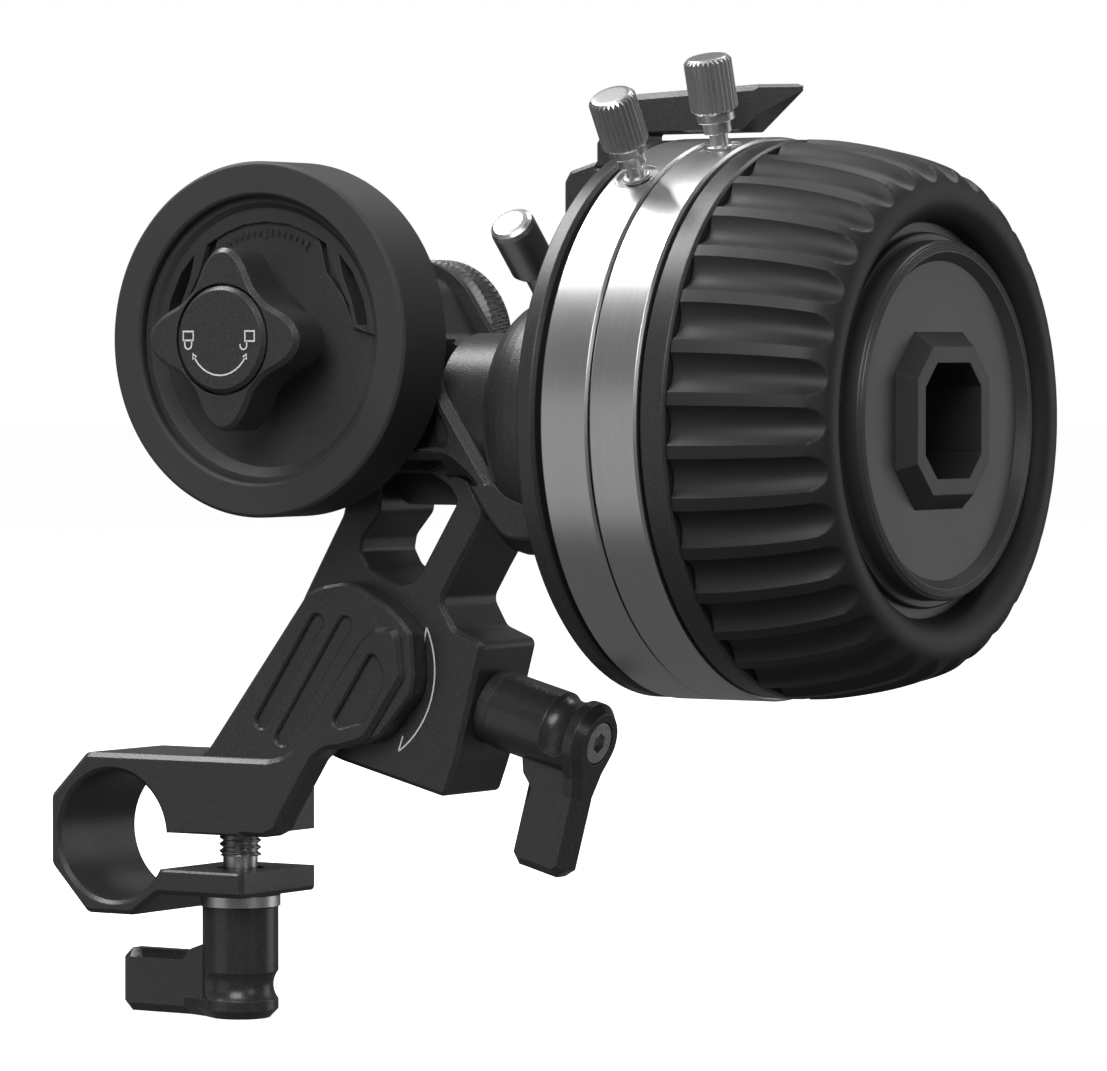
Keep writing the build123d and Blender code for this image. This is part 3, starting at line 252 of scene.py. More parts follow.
def surface(name, base, rough, metallic=0.0, specular=0.5, grain=6000.0, grain_colour=0.16, grain_bump=0.5, grain_depth=2.5e-5,
            blotch=0.07, rough_var=0.06, speck=0.0, speck_scale=9000.0, edge=0.0, edge_r=0.00022, edge_highlight_colour=None,
            turned=None, scratches=0.0, stretch=(1, 1, 1), sheen=0.0, coat=0.0):
    """A procedural finish: grain, broad tone changes, specks, turned lines and a painted highlight along the edges, in
    millimetre-true object space.
    """
    m = bpy.data.materials.new(name)
    m.use_nodes = True
    nt = m.node_tree
    nt.nodes.clear()
    out = nt.nodes.new("ShaderNodeOutputMaterial")
    bs = nt.nodes.new("ShaderNodeBsdfPrincipled")
    nt.links.new(bs.outputs[0], out.inputs[0])
    bs.inputs["Metallic"].default_value = metallic
    bs.inputs["Specular IOR Level"].default_value = specular
    if sheen:
        bs.inputs["Sheen Weight"].default_value = sheen
        bs.inputs["Sheen Roughness"].default_value = 0.6
    if coat:
        bs.inputs["Coat Weight"].default_value = coat
        bs.inputs["Coat Roughness"].default_value = 0.35
    tc = nt.nodes.new("ShaderNodeTexCoord")
    mp = nt.nodes.new("ShaderNodeMapping")
    mp.inputs["Scale"].default_value = stretch
    nt.links.new(tc.outputs["Object"], mp.inputs["Vector"])
    fine = node(nt, "ShaderNodeTexNoise", Scale=grain, Detail=2.0, Roughness=0.55)
    nt.links.new(mp.outputs[0], fine.inputs["Vector"])
    broad = node(nt, "ShaderNodeTexNoise", Scale=90.0, Detail=3.0, Roughness=0.6)
    nt.links.new(tc.outputs["Object"], broad.inputs["Vector"])
    # tone: 1 + grain + blotch
    g = maths(nt, "MULTIPLY_ADD", fine.outputs["Fac"], 2 * grain_colour); nt.nodes[-1].inputs[2].default_value = 1 - grain_colour
    b = maths(nt, "MULTIPLY_ADD", broad.outputs["Fac"], 2 * blotch); nt.nodes[-1].inputs[2].default_value = 1 - blotch
    tone = maths(nt, "MULTIPLY", g, b)
    height = fine.outputs["Fac"]
    if speck:
        sp = node(nt, "ShaderNodeTexNoise", Scale=speck_scale, Detail=1.0, Roughness=0.4)
        nt.links.new(tc.outputs["Object"], sp.inputs["Vector"])
        bright = ramp(nt, sp.outputs["Fac"], [(0.60, 0.0), (0.74, 1.0)])
        more = maths(nt, "ADD", maths(nt, "MULTIPLY", bright, speck), 1.0)
        tone = maths(nt, "MULTIPLY", tone, more)
    if turned:
        # fine concentric tool lines: axis point, axis direction, lines a millimetre
        (ox, oy, oz), which, per_mm, depth = turned
        sep = nt.nodes.new("ShaderNodeSeparateXYZ")
        nt.links.new(tc.outputs["Object"], sep.inputs[0])
        comb = nt.nodes.new("ShaderNodeCombineXYZ")
        along = {"x": 0, "y": 1, "z": 2}[which]
        others = [i for i in range(3) if i != along]
        d0 = maths(nt, "SUBTRACT", sep.outputs[others[0]], (ox, oy, oz)[others[0]] / 1000)
        d1 = maths(nt, "SUBTRACT", sep.outputs[others[1]], (ox, oy, oz)[others[1]] / 1000)
        rad = maths(nt, "SQRT", maths(nt, "ADD", maths(nt, "MULTIPLY", d0, d0), maths(nt, "MULTIPLY", d1, d1)))
        nt.links.new(maths(nt, "MULTIPLY", sep.outputs[along], per_mm * 1000.0), comb.inputs[0])
        nt.links.new(maths(nt, "MULTIPLY", rad, per_mm * 1000.0), comb.inputs[1])
        ang = maths(nt, "ARCTAN2", d0, d1)
        nt.links.new(maths(nt, "MULTIPLY", ang, 1.3), comb.inputs[2])
        lines = node(nt, "ShaderNodeTexNoise", Scale=1.0, Detail=2.0, Roughness=0.6)
        nt.links.new(comb.outputs[0], lines.inputs["Vector"])
        height = maths(nt, "ADD", maths(nt, "MULTIPLY", lines.outputs["Fac"], depth), maths(nt, "MULTIPLY", fine.outputs["Fac"], 0.5))
        lt = maths(nt, "MULTIPLY_ADD", lines.outputs["Fac"], 0.22); nt.nodes[-1].inputs[2].default_value = 0.89
        tone = maths(nt, "MULTIPLY", tone, lt)
    base_rgb = (base, base, base * 1.02) if isinstance(base, (int, float)) else base
    col = nt.nodes.new("ShaderNodeMix"); col.data_type = "RGBA"; col.blend_type = "MULTIPLY"
    col.inputs["Factor"].default_value = 1.0
    col.inputs["A"].default_value = (*base_rgb, 1)
    nt.links.new(tone, col.inputs["B"])
    colour = col.outputs["Result"]
    r = maths(nt, "MULTIPLY_ADD", broad.outputs["Fac"], 2 * rough_var); nt.nodes[-1].inputs[2].default_value = rough - rough_var
    if scratches:
        sc1 = node(nt, "ShaderNodeTexNoise", Scale=900.0, Detail=3.0, Roughness=0.7)
        mp2 = nt.nodes.new("ShaderNodeMapping"); mp2.inputs["Scale"].default_value = (0.25, 1.0, 3.0); mp2.inputs["Rotation"].default_value = (0.3, 0.5, 0.8)
        nt.links.new(tc.outputs["Object"], mp2.inputs["Vector"]); nt.links.new(mp2.outputs[0], sc1.inputs["Vector"])
        r = maths(nt, "ADD", r, maths(nt, "MULTIPLY", ramp(nt, sc1.outputs["Fac"], [(0.45, 0.0), (0.7, 1.0)]), scratches))
    # painted highlight: a bevel-normal mask lightens the colour along every edge, speckled by the grain; the same bevel
    # normal also rounds the shading of the edges
    if edge:
        bv = nt.nodes.new("ShaderNodeBevel"); bv.samples = 4; bv.inputs["Radius"].default_value = edge_r
        geo = nt.nodes.new("ShaderNodeNewGeometry")
        dot = nt.nodes.new("ShaderNodeVectorMath"); dot.operation = "DOT_PRODUCT"
        nt.links.new(bv.outputs[0], dot.inputs[0]); nt.links.new(geo.outputs["Normal"], dot.inputs[1])
        edge_highlight_mask = ramp(nt, dot.outputs["Value"], [(0.80, 1.0), (0.985, 0.0)])
        painted_edge_highlight = maths(nt, "MULTIPLY", edge_highlight_mask, ramp(nt, fine.outputs["Fac"], [(0.35, 0.35), (0.62, 1.0)]))
        painted_edge_highlight = maths(nt, "MULTIPLY", painted_edge_highlight, edge, clamp=True)
        edge_highlight_mix = nt.nodes.new("ShaderNodeMix"); edge_highlight_mix.data_type = "RGBA"
        nt.links.new(painted_edge_highlight, edge_highlight_mix.inputs["Factor"])
        nt.links.new(colour, edge_highlight_mix.inputs["A"])
        edge_highlight_rgb = edge_highlight_colour or tuple(min(1.0, c * 3.2) for c in base_rgb)
        edge_highlight_mix.inputs["B"].default_value = (*edge_highlight_rgb, 1)
        colour = edge_highlight_mix.outputs["Result"]
    nt.links.new(colour, bs.inputs["Base Color"])
    nt.links.new(r, bs.inputs["Roughness"])
    bump = nt.nodes.new("ShaderNodeBump")
    bump.inputs["Strength"].default_value = grain_bump
    bump.inputs["Distance"].default_value = grain_depth
    nt.links.new(height, bump.inputs["Height"])
    if edge:
        nt.links.new(bv.outputs[0], bump.inputs["Normal"])
    nt.links.new(bump.outputs[0], bs.inputs["Normal"])
    return m


# each finish below with an edge strength gets a painted highlight along its edges, in its edge colour
BLACK = surface("black_anodised_fine", 0.035, 0.36, specular=0.5, grain=4400, grain_colour=0.55, grain_bump=0.8, grain_depth=3.4e-5,
                speck=0.9, speck_scale=7000.0, edge=0.9, edge_r=0.00013, edge_highlight_colour=(0.15, 0.15, 0.152), rough_var=0.05)
BLACK_TURNED = surface("black_anodised_turned", 0.032, 0.34, grain=4400, grain_colour=0.5, grain_bump=0.7, grain_depth=2.6e-5, speck=0.8, speck_scale=7000.0,
                       turned=((0, WY, WZ), "x", 9.0, 0.5), edge=0.6, edge_highlight_colour=(0.16, 0.16, 0.16))
BLACK_GLOSSY = surface("black_anodised_bright", 0.032, 0.27, specular=0.6, grain=4400, grain_colour=0.5, grain_bump=0.7, grain_depth=2.6e-5,
                       speck=0.9, speck_scale=7000.0, edge=1.0, edge_r=0.00016, edge_highlight_colour=(0.22, 0.22, 0.222), rough_var=0.05)
# painted reflection: the knurled knob's black base is lighter than the other black parts to stand in for the light its
# knurl reflects; its edges also get a stronger painted highlight
KNURL_BLACK_PAINTED_LIGHTER = surface("black_anodised_knurled_painted_lighter", 0.055, 0.30, specular=0.6, grain=4400, grain_colour=0.4, grain_bump=0.6, grain_depth=2.0e-5,
                      speck=0.8, speck_scale=7000.0, edge=1.0, edge_r=0.00012, edge_highlight_colour=(0.26, 0.26, 0.262), rough_var=0.05)
SILVER = surface("satin_silver_turned", (0.60, 0.60, 0.605), 0.30, metallic=1.0, grain=4200, grain_colour=0.05, grain_bump=0.35, grain_depth=6e-6,
                 turned=((0, WY, WZ), "x", 11.0, 0.8), blotch=0.02, rough_var=0.03, edge=0.7, edge_r=0.00012, edge_highlight_colour=(0.86, 0.86, 0.86))
SILVER_SMALL = surface("satin_silver_small", (0.60, 0.60, 0.605), 0.33, metallic=1.0, grain=5200, grain_colour=0.08, grain_bump=0.4, grain_depth=8e-6,
                       blotch=0.03, rough_var=0.04, edge=0.5, edge_r=0.00008, edge_highlight_colour=(0.8, 0.8, 0.8))
RUBBER = surface("grip_rubber_moulded", 0.018, 0.52, specular=0.42, grain=3800, grain_colour=0.14, grain_bump=0.5, grain_depth=2.0e-5,
                 blotch=0.10, rough_var=0.07, speck=0.25, speck_scale=7000)
TYRE = surface("gear_rubber_moulded", 0.052, 0.60, specular=0.35, grain=5200, grain_colour=0.10, grain_bump=0.35, grain_depth=1.5e-5,
               blotch=0.06, rough_var=0.05, edge=0.35, edge_highlight_colour=(0.11, 0.11, 0.11), edge_r=0.0003)
PLASTIC = surface("gear_plastic_moulded", 0.044, 0.55, specular=0.4, grain=4600, grain_colour=0.26, grain_bump=0.7, grain_depth=2.6e-5,
                  speck=0.5, edge=0.5, edge_highlight_colour=(0.13, 0.13, 0.13))
STEEL = surface("turned_steel", (0.50, 0.50, 0.505), 0.28, metallic=1.0, grain=4200, grain_colour=0.10, grain_bump=0.4, grain_depth=6e-6,
                scratches=0.08, edge=0.4, edge_r=0.0001, edge_highlight_colour=(0.75, 0.75, 0.75))
DARK_STEEL = surface("black_oxide_steel", (0.06, 0.06, 0.063), 0.36, metallic=0.85, grain=5200, grain_colour=0.16, grain_bump=0.4, grain_depth=1e-5,
                     scratches=0.06, edge=0.5, edge_r=0.0001, edge_highlight_colour=(0.3, 0.3, 0.3))
BRASS = surface("turned_brass", (0.70, 0.53, 0.26), 0.30, metallic=1.0, grain=4200, grain_colour=0.10, grain_bump=0.4, grain_depth=6e-6, scratches=0.06)
PRINT = surface("white_print", (0.86, 0.86, 0.86), 0.55, grain=7000, grain_colour=0.05, grain_bump=0.2, grain_depth=6e-6, blotch=0.03)
SOCKET_DARK = surface("socket_black", 0.022, 0.42, grain=5200, grain_colour=0.18, grain_bump=0.5, grain_depth=1.6e-5, edge=0.6,
                      edge_highlight_colour=(0.14, 0.14, 0.14))

BY_SLOT = {"black_anodised": BLACK, "satin_silver": SILVER, "grip_rubber": RUBBER, "gear_rubber": TYRE, "gear_plastic": PLASTIC,
           "steel": STEEL, "black_steel": DARK_STEEL, "brass": BRASS}
SLOT_OF = {s["node"]: s["material_slot"] for s in frame["record"]["subparts"]}
OWN = {"back_plate": BLACK_TURNED, "wheel_flange": BLACK_TURNED, "wheel_drum": BLACK_TURNED, "crank_socket": SOCKET_DARK,
       "rod_clamp_washer": SILVER_SMALL, "release_pin": SILVER_SMALL, "rod_clamp_lever": BLACK_GLOSSY, "arm_lock_lever": BLACK_GLOSSY}
for name, o in NODES.items():
    mat = OWN.get(name, BY_SLOT[SLOT_OF[name]])
    if not o.material_slots:
        o.data.materials.append(mat)
    for s in o.material_slots:
        s.material = mat


# ------------------------------------------------------------------ grip with scooped grooves
def grip():
    x_left = 86.55
    outer = spline([(x_left, 30.38)] + GRIP[2:], 8)
    # even steps along the curve, finer at the groove ends
    p = np.array(outer); seg = np.hypot(*np.diff(p, axis=0).T); s = np.concatenate([[0], np.cumsum(seg)])
    crest = int(p[:, 0].argmax())
    s_end = np.interp(-25.55, -p[:crest, 1], s[:crest])          # the grooves run on to near the crest
    stops = np.concatenate([np.linspace(0, s_end - 4.2, 22, endpoint=False), np.linspace(s_end - 4.2, s_end + 0.3, 40, endpoint=False),
                            np.linspace(s_end + 0.3, s[-1], 26)])
    prof = np.stack([np.interp(stops, s, p[:, 0]), np.interp(stops, s, p[:, 1])], 1)
    half_rib = 0.125 * RIB_PITCH
    local = np.concatenate([np.linspace(-half_rib, half_rib, 5), half_rib + (RIB_PITCH - 2 * half_rib) * (np.arange(1, 22) / 22.0)])
    ang = np.concatenate([RIB_FIRST + i * RIB_PITCH + local for i in range(RIBS)])
    u = np.tile(np.clip((local - RIB_PITCH / 2) / (RIB_PITCH / 2 - half_rib), -1, 1), RIBS)     # -1 .. 1 across a groove
    u[np.tile(np.abs(local) <= half_rib + 1e-9, RIBS)] = 1.0
    depth_mid, run = 1.05, 3.4
    tang = np.gradient(prof, axis=0); tang /= np.linalg.norm(tang, axis=1)[:, None]
    nrm = np.stack([-tang[:, 1], tang[:, 0]], 1)                # profile normal, outwards
    nrm *= np.sign(nrm[:1, 1])
    rows = []
    e = np.radians(ang)                                          # 0 is towards the front (-Y), 90 is up
    for k, (x, r) in enumerate(prof):
        q = max(0.0, (stops[k] - (s_end - run)) / run)
        d = depth_mid * np.clip(1 - u ** 2 - q ** 2.6, 0, 1) ** 0.92
        xx = x - nrm[k, 0] * d
        rr = r - nrm[k, 1] * d
        rows.append(np.stack([xx, WY - rr * np.cos(e), WZ + rr * np.sin(e)], 1))
    # left edge: a small lip, then down the left face to the bore and back under
    first = rows[0]
    rim = []
    rad0 = np.hypot(first[:, 1] - WY, first[:, 2] - WZ)
    for dx, dr in ((0.14, 0.0), (0.05, 0.06), (0.0, 0.18)):
        rr = rad0 - dr
        rim.append(np.stack([np.full(len(e), x_left - 0.14 + dx), WY - rr * np.cos(e), WZ + rr * np.sin(e)], 1))
    inner = []
    for x, r in ((x_left - 0.14, 26.0), (x_left - 0.14, 21.3), (99.0, 21.3)):
        inner.append(np.stack([np.full(len(e), x), WY - r * np.cos(e), WZ + r * np.sin(e)], 1))
    allrows = inner[::-1][:0] + [inner[2], inner[1], inner[0], rim[2], rim[1]] + rows
    v, f = grid_solid(np.array(allrows), True)
    f = outward(v, f)
    return make("grip_ribbed", v, f, RUBBER, "wheel", ["wheel_grip"], sharp=38)


grip()

# ------------------------------------------------------------------ hub plate with fine turned grooves
prof = [(98.6, 8.6), (98.6, 18.8), (100.2, 18.8), (100.2, 20.2), (100.75, 20.2), (101.0, 20.12), (101.1, 19.95), (101.1, 19.32), (101.2, 19.3)]
prof += [(102.95, 19.3), (103.12, 19.24)]
for r in (19.02, 18.86, 18.70, 18.54, 18.38, 18.22):
    x = 103.4 if r < 18.85 else 103.4 - (r - 18.85) * 0.75
    prof += [(x, r + 0.045), (x - 0.07, r + 0.012), (x - 0.07, r - 0.02), (x, r - 0.05)]
prof += [(103.4, 18.05), (103.33, 17.95), (102.42, 17.25), (102.3, 17.1), (102.18, 16.0), (102.1, 8.6)]
v, f = lathe(prof, (0, WY, WZ), (1, 0, 0), (0, 1, 0), 240)
# the edge strength and edge colour here give the hub a painted highlight along its edges
HUB = surface("black_anodised_hub", 0.046, 0.36, grain=5200, grain_colour=0.10, grain_bump=0.35, grain_depth=1.2e-5,
              turned=((0, WY, WZ), "x", 7.0, 0.35), edge=0.5, edge_r=0.00008, edge_highlight_colour=(0.16, 0.16, 0.16))
make("hub_plate_turned", v, outward(v, f), HUB, "wheel", ["hub_plate"], sharp=30)


# ------------------------------------------------------------------ flat-faced castings, with their rims eased
def eased(node_name, body, width, faces_up, mat=None, corners=None, corner_width=0.0):
    """A copy of a part's surface whose sharp rims, round the flat faces that look along faces_up, get a small chamfer."""
    src = NODES[node_name].data
    bm = bmesh.new()
    bm.from_mesh(src)
    bmesh.ops.remove_doubles(bm, verts=bm.verts, dist=2e-6)
    bm.normal_update()
    lo = [min(v.co[i] for v in bm.verts) for i in range(3)]
    hi = [max(v.co[i] for v in bm.verts) for i in range(3)]
    if corners:
        picked = [e for e in bm.edges if len(e.link_faces) == 2 and e.is_convex and all(corners(v.co * 1000.0) for v in e.verts)
                  and e.link_faces[0].normal.angle(e.link_faces[1].normal) > math.radians(60)]
        bmesh.ops.bevel(bm, geom=picked, offset=corner_width, offset_type="OFFSET", segments=4, profile=0.5, affect="EDGES", clamp_overlap=False)
        bm.normal_update()
    ups = [Vector(n) for n in faces_up]
    picked = []
    for e in bm.edges:
        if len(e.link_faces) != 2 or not e.is_convex:
            continue
        a, b = e.link_faces
        if a.normal.angle(b.normal) < math.radians(50):
            continue
        if any(a.normal.dot(n) > 0.9995 for n in ups) != any(b.normal.dot(n) > 0.9995 for n in ups):
            picked.append(e)
    bmesh.ops.bevel(bm, geom=picked, offset=width, offset_type="OFFSET", segments=1, profile=0.5, affect="EDGES", clamp_overlap=False,
                    miter_outer="SHARP", miter_inner="SHARP")
    for v in bm.verts:
        for i in range(3):
            v.co[i] = min(max(v.co[i], lo[i]), hi[i])
    bmesh.ops.triangulate(bm, faces=bm.faces, ngon_method="EAR_CLIP")
    me = bpy.data.meshes.new(node_name + "_eased")
    bm.to_mesh(me)
    bm.free()
    for old in ("custom_normal", "sharp_edge", "sharp_face"):
        if old in me.attributes:
            me.attributes.remove(me.attributes[old])
    me.shade_smooth()
    me.set_sharp_from_angle(angle=math.radians(24))
    me.materials.clear()
    me.materials.append(mat or OWN.get(node_name, BY_SLOT[SLOT_OF[node_name]]))
    o = bpy.data.objects.new(node_name + "_eased", me)
    bpy.context.scene.collection.objects.link(o)
    o.matrix_world = NODES[node_name].matrix_world.copy()
    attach(o, body)
    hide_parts(node_name)
    return o


FRONT, REAR, LEFT, RIGHT_X = (0, -1, 0), (0, 1, 0), (-1, 0, 0), (1, 0, 0)
bpy.context.view_layer.update()
eased("rod_clamp_arm", "root", 0.00026, [FRONT, REAR])
eased("arm_link", "arm", 0.00026, [FRONT, REAR])
eased("index_arm", "arm", 0.00022, [FRONT, REAR])
eased("index_block", "arm", 0.00022, [FRONT, REAR])
eased("gearbox_front_cover", "arm", 0.00022, [FRONT])
eased("back_plate", "arm", 0.0002, [LEFT, RIGHT_X])
eased("gear_cover_ring", "gear", 0.0003, [FRONT, REAR])

# ------------------------------------------------------------------ stop screws, straight knurl
def knurl(teeth, depth, s0, s1, fade, twist=0.0, cross=False):
    def radius(s, r, t):
        k = min(1.0, max(0.0, (s - s0) / fade)) * min(1.0, max(0.0, (s1 - s) / fade)) if s0 < s < s1 else 0.0
        w = (t * teeth / TAU + twist * (s - s0)) % 1.0
        tri = np.abs(w - 0.5) * 2
        if cross:
            w2 = (t * teeth / TAU - twist * (s - s0)) % 1.0
            tri = np.maximum(tri, np.abs(w2 - 0.5) * 2)
        return r - depth * k * np.clip(tri * 1.25 - 0.12, 0, 1)
    return radius


# the envelope of the knob; its teeth are cut into it, so that the end bevels meet them in a zigzag
STOP = [(27.05, 1.0), (27.25, 1.2), (30.4, 1.2), (30.42, 1.42), (30.5, 1.5), (30.74, 1.5), (30.86, 1.46), (30.93, 1.36), (30.95, 1.02), (31.05, 1.0), (32.28, 1.0),
        (32.3, 1.48), (32.38, 1.55), (33.52, 1.55), (33.6, 1.58), (33.61, 1.98), (33.7, 2.06), (34.46, 2.06), (34.55, 2.08)]
STOP += [(34.6 + 0.07 * i, 2.1 + 0.1 * i) for i in range(6)] + [(35.5, 2.6), (37.5, 2.6), (39.5, 2.6), (40.1, 2.6)]
STOP += [(40.18 + 0.07 * i, 2.6 - 0.07 * i) for i in range(7)] + [(40.66, 2.02), (40.665, 1.6)]


def toothed_knob(teeth, depth, s0, r_out):
    def radius(s, r, t):
        if s < s0:
            return np.full(len(t), float(r))
        w = (t * teeth / TAU) % 1.0
        tri = np.abs(w - 0.5) * 2
        return np.minimum(r, r_out - depth * np.clip(tri * 1.35 - 0.2, 0, 1))
    return radius


for tag, x, deg in (("a", 74.0, 31.5), ("b", 80.0, 16.3)):
    axis = (0, -math.sin(math.radians(deg)), math.cos(math.radians(deg)))
    v, f = lathe(STOP, (x, WY, WZ), axis, (1, 0, 0), 28 * 12, toothed_knob(28, 0.34, 34.58, 2.6), closed=False)
    make("stop_screw_" + tag + "_knurled", v, outward(v, f), SILVER_SMALL, "screw_" + tag, ["stop_screw_" + tag], sharp=24)

# ------------------------------------------------------------------ rear knob, slanted knurl
RK = [(17.4, 3.2), (17.4, 7.9), (17.85, 8.35), (18.2, 9.1), (18.35, 9.33), (18.55, 9.35), (19.2, 9.35), (19.9, 9.35), (20.6, 9.35), (21.3, 9.35), (21.75, 9.35),
      (21.95, 9.3), (22.35, 8.9), (22.4, 8.8), (22.4, 2.75), (21.2, 1.4), (20.95, 1.35), (20.85, 3.2)]
v, f = lathe(RK, (GX, 0, GZ), (0, 1, 0), (1, 0, 0), 72 * 8, knurl(72, 0.36, 18.3, 21.95, 0.25, twist=0.95))
make("rear_knob_knurled", v, outward(v, f), KNURL_BLACK_PAINTED_LIGHTER, "gear", ["rear_knob"], sharp=26)


# ------------------------------------------------------------------ threaded studs
def thread(pitch, depth, s0, s1):
    def radius(s, r, t):
        if not (s0 <= s <= s1):
            return np.full(len(t), float(r))
        k = min(1.0, (s - s0) / 0.25, (s1 - s) / 0.25)
        w = (s / pitch + t / TAU) % 1.0
        tri = np.clip(np.abs(w - 0.5) * 2 * 1.3 - 0.15, 0, 1)
        return r - depth * k * tri
    return radius


def toothed_section(r_tip, r_root, n, m):
    """Radius of a toothed head at m angles."""
    t = np.linspace(0, TAU, m, endpoint=False)
    w = (t * n / TAU) % 1.0
    return r_root + (r_tip - r_root) * np.abs(w - 0.5) * 2


def stud(name, body, origin, axis, ref, shank, length, thread_r, stands_for, pitch=0.8):
    n = 96
    end = -(shank + length)
    prof = [(end, thread_r - 0.55), (end + 0.45, thread_r - 0.1)]
    s = end + 0.5
    while s < -shank - 0.05:
        prof.append((s, thread_r)); s += pitch / 14
    prof += [(-shank, thread_r - 0.05), (-shank, 2.0), (-0.05, 2.0), (0.02, 2.1)]
    head = [(0.02, 3.2), (0.25, 3.2), (2.1, 3.2), (2.3, 3.1)]
    th = thread(pitch, 0.42, end + 0.3, -shank)
    sec = toothed_section(3.2, 2.75, 12, n)

    def radius(s, r, t):
        if r > 3.0:
            return sec * (r / 3.2)
        return th(s, r, t)
    v, f = lathe(prof + head + [(2.3, 1.25), (-4.0, 1.25), (-4.0, 0.05)], origin, axis, ref, n, radius, closed=False)
    make(name, v, outward(v, f), STEEL, body, stands_for, sharp=28)


stud("rod_clamp_stud_threaded", "rod_stud", (STUD_X, STUD_Y, -8.0), (0, 0, -1), (1, 0, 0), 5.8, 10.2, 2.42, ["rod_clamp_stud"])
dx, dz = math.cos(math.radians(LOCK_DEG)), -math.sin(math.radians(LOCK_DEG))
stud("arm_lock_stud_threaded", "arm_stud", (PX + dx * LOCK_IN, LOCK_Y, PZ + dz * LOCK_IN), (dx, 0, dz), (dz, 0, -dx), 1.5, 8.6, 2.42, ["arm_lock_stud"])

# ------------------------------------------------------------------ printed marks on the lock cap
Y_CAP, Y_TOP = -22.79, -22.8
PRINT_Y = (-22.78, -22.8 + 0.0)
marks = []


def cap_stroke(line, width=0.17, closed=False):
    marks.append(stroke([(GX + x, GZ + z) for x, z in line], width, -22.79, -22.83, closed))


# closed lock on the left, open lock on the right, both with the shackle below the body
cap_stroke([(-4.93, 0.88), (-3.58, 0.88), (-3.58, -0.10), (-4.93, -0.10)], closed=True)
cap_stroke([(-4.72, -0.10), (-4.72, -0.55)] + arc(-4.26, -0.60, 0.46, 180, 360, 14) + [(-3.80, -0.55), (-3.80, -0.10)])
cap_stroke([(3.42, 0.92), (4.68, 0.92), (4.68, -0.18), (3.42, -0.18)], closed=True)
cap_stroke([(3.66, -0.18), (3.66, -0.62)] + arc(3.22, -0.66, 0.44, 360, 180, 14) + [(2.78, -0.52)])
cap_stroke(arc(0, 0, 3.95, 207, 333, 48), 0.17)
for a, s in ((202, 1), (338, -1)):
    t = math.radians(a)
    tip = (3.95 * math.cos(t), 3.95 * math.sin(t))
    back = math.radians(a + s * 9.5)
    bc = (3.95 * math.cos(back), 3.95 * math.sin(back))
    nx, nz = math.cos(back), math.sin(back)
    tri = [tip, (bc[0] + 0.36 * nx, bc[1] + 0.36 * nz), (bc[0] - 0.36 * nx, bc[1] - 0.36 * nz)]
    marks.append(slab([(GX + x, GZ + z) for x, z in tri], -22.83, -22.79))
v, f = join(marks)
make("lock_cap_print", v, f, PRINT, "gear_lock", smooth=False)

# ------------------------------------------------------------------ printed arc on the swing arm, with half arrowheads
marks = []
a0, a1 = math.degrees(math.atan2(24.8 - PZ, 41.0 - PX)), math.degrees(math.atan2(10.8 - PZ, 37.2 - PX))
marks.append(stroke(arc(PX, PZ, 11.1, a0, a1, 60), 0.17, -3.19, -3.235))
for a, s in ((a0, -1), (a1, 1)):
    t = math.radians(a)
    tip = np.array([PX + 11.1 * math.cos(t), PZ + 11.1 * math.sin(t)])
    b = math.radians(a + s * 8.5)
    barb = np.array([PX + 10.1 * math.cos(b), PZ + 10.1 * math.sin(b)])
    marks.append(stroke([tuple(tip), tuple(barb)], 0.18, -3.19, -3.235))
v, f = join(marks)
make("swing_arc_print", v, f, PRINT, "arm", smooth=False)

# ------------------------------------------------------------------ plain index ticks moulded on the gear's hub
marks = []
for i, a in enumerate(np.linspace(62, 118, 15)):
    t = math.radians(a)
    r0, r1 = (11.35, 12.5) if i % 7 == 0 else (11.75, 12.4)
    line = [(GX + r * math.cos(t), GZ + r * math.sin(t)) for r in (r0, r1)]
    marks.append(stroke(line, 0.22, -13.99, -14.1))
v, f = join(marks)
make("gear_ticks", v, f, PLASTIC, "gear", smooth=False)

# ------------------------------------------------------------------ stage: floor, lights, camera
F_PX, AZ, EL, ROLL, DIST, RIGHT, UP = 6000.0, 32.55, 1.71, 0.0, 695.4, 47.01, 34.30
az, el, roll = (math.radians(x) for x in (AZ, EL, ROLL))
back = np.array([math.sin(az) * math.cos(el), -math.cos(az) * math.cos(el), math.sin(el)])
right = np.array([math.cos(az), math.sin(az), 0.0])
up = np.cross(back, right)
r2 = right * math.cos(roll) + up * math.sin(roll)
u2 = up * math.cos(roll) - right * math.sin(roll)
cam_data = bpy.data.cameras.new("camera")
cam = bpy.data.objects.new("camera", cam_data)
bpy.context.scene.collection.objects.link(cam)
loc = (r2 * RIGHT + u2 * UP + back * DIST) / 1000.0
m = Matrix.Identity(4)
for i in range(3):
    m[i][0], m[i][1], m[i][2], m[i][3] = r2[i], u2[i], back[i], loc[i]
cam.matrix_world = m
cam_data.sensor_width = 36.0
cam_data.lens = F_PX * 36.0 / 1107.0
cam_data.clip_start, cam_data.clip_end = 0.01, 50.0
bpy.context.scene.camera = cam

CENTRE = np.array([0.050, 0.0, 0.036])


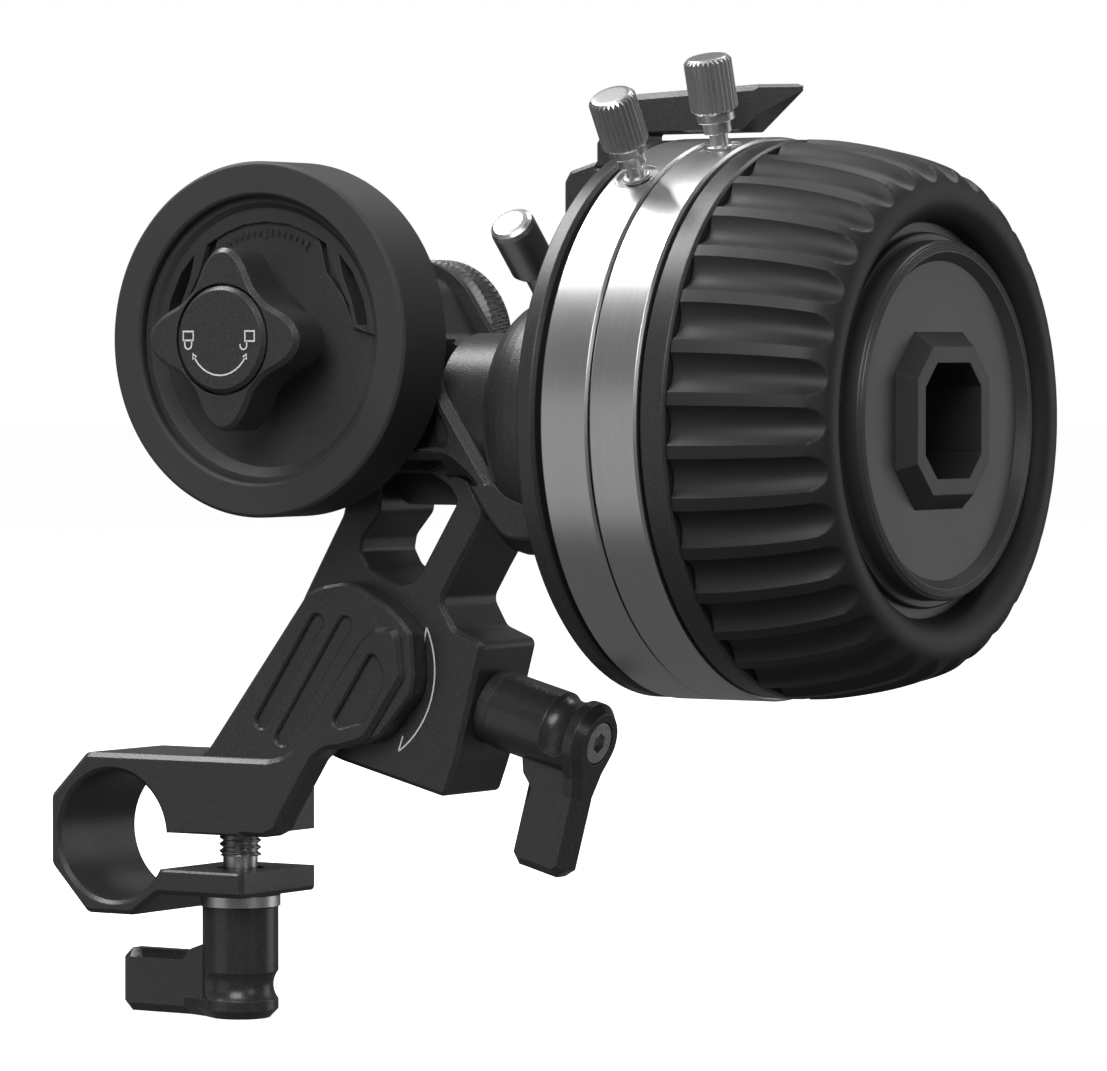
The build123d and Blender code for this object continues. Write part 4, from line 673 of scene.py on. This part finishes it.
def softbox(name, side, high, front, size, power, size_y=None, aim=CENTRE):
    """An area light placed in the camera's own left-right, up-down and near-far directions, in metres."""
    d = bpy.data.lights.new(name, "AREA")
    d.shape = "RECTANGLE"
    d.size, d.size_y = size, size_y or size
    d.energy = power
    o = bpy.data.objects.new(name, d)
    bpy.context.scene.collection.objects.link(o)
    p = CENTRE + right * side + np.array([0, 0, 1.0]) * high + np.array([back[0], back[1], 0]) * front
    o.location = p
    o.rotation_mode = "QUATERNION"
    o.rotation_quaternion = Vector(p - np.array(aim)).to_track_quat("Z", "Y")
    return o


softbox("key", -0.40, 0.64, -0.17, 0.46, 5.2, 0.30)
softbox("front_key", -0.18, 0.46, 0.66, 0.46, 4.0)
softbox("top", 0.20, 0.58, -0.26, 0.34, 1.4, 0.25)
softbox("right", 0.62, 0.08, -0.22, 0.36, 0.55, 0.5)
softbox("left", -0.60, -0.14, 0.30, 0.50, 0.32, 0.60)
softbox("right_front", 0.50, 0.20, 0.62, 0.20, 0.50, 0.36)

world = bpy.data.worlds.new("studio")
bpy.context.scene.world = world
world.use_nodes = True
wn = world.node_tree
wn.nodes.clear()
wo = wn.nodes.new("ShaderNodeOutputWorld")
mixs = wn.nodes.new("ShaderNodeMixShader")
lp = wn.nodes.new("ShaderNodeLightPath")
bg_seen = wn.nodes.new("ShaderNodeBackground"); bg_seen.inputs["Color"].default_value = (1, 1, 1, 1); bg_seen.inputs["Strength"].default_value = 1.0
bg_lit = wn.nodes.new("ShaderNodeBackground"); bg_lit.inputs["Color"].default_value = (1, 1, 1, 1); bg_lit.inputs["Strength"].default_value = 0.13
wn.links.new(lp.outputs["Is Camera Ray"], mixs.inputs[0])
wn.links.new(bg_lit.outputs[0], mixs.inputs[1])
wn.links.new(bg_seen.outputs[0], mixs.inputs[2])
wn.links.new(mixs.outputs[0], wo.inputs[0])

# pale floor, a large round sheet just under the lever
n = 128
ring = [(6.0 * math.cos(TAU * i / n), 6.0 * math.sin(TAU * i / n), -0.02084) for i in range(n)]
me = bpy.data.meshes.new("floor")
me.from_pydata(ring, [], [tuple(range(n))])
fm = bpy.data.materials.new("pale_floor")
fm.use_nodes = True
fnt = fm.node_tree
fb = fnt.nodes["Principled BSDF"]
fb.inputs["Roughness"].default_value = 0.9
fb.inputs["Specular IOR Level"].default_value = 0.1
ft = fnt.nodes.new("ShaderNodeTexCoord")
fno = fnt.nodes.new("ShaderNodeTexNoise"); fno.inputs["Scale"].default_value = 14.0; fno.inputs["Detail"].default_value = 3.0
fnt.links.new(ft.outputs["Object"], fno.inputs["Vector"])
fr = fnt.nodes.new("ShaderNodeValToRGB")
fr.color_ramp.elements[0].color = (0.90, 0.90, 0.90, 1); fr.color_ramp.elements[1].color = (0.93, 0.93, 0.93, 1)
fnt.links.new(fno.outputs["Fac"], fr.inputs["Fac"])
fnt.links.new(fr.outputs["Color"], fb.inputs["Base Color"])
fb.inputs["Emission Color"].default_value = (1, 1, 1, 1)
fb.inputs["Emission Strength"].default_value = 0.86
me.materials.append(fm)
floor = bpy.data.objects.new("floor", me)
bpy.context.scene.collection.objects.link(floor)
floor.visible_glossy = False
floor.visible_diffuse = False

scene = bpy.context.scene
scene.view_settings.view_transform = "Standard"
scene.view_settings.look = "None"
scene.view_settings.exposure = 0.0
scene.view_settings.gamma = 1.0
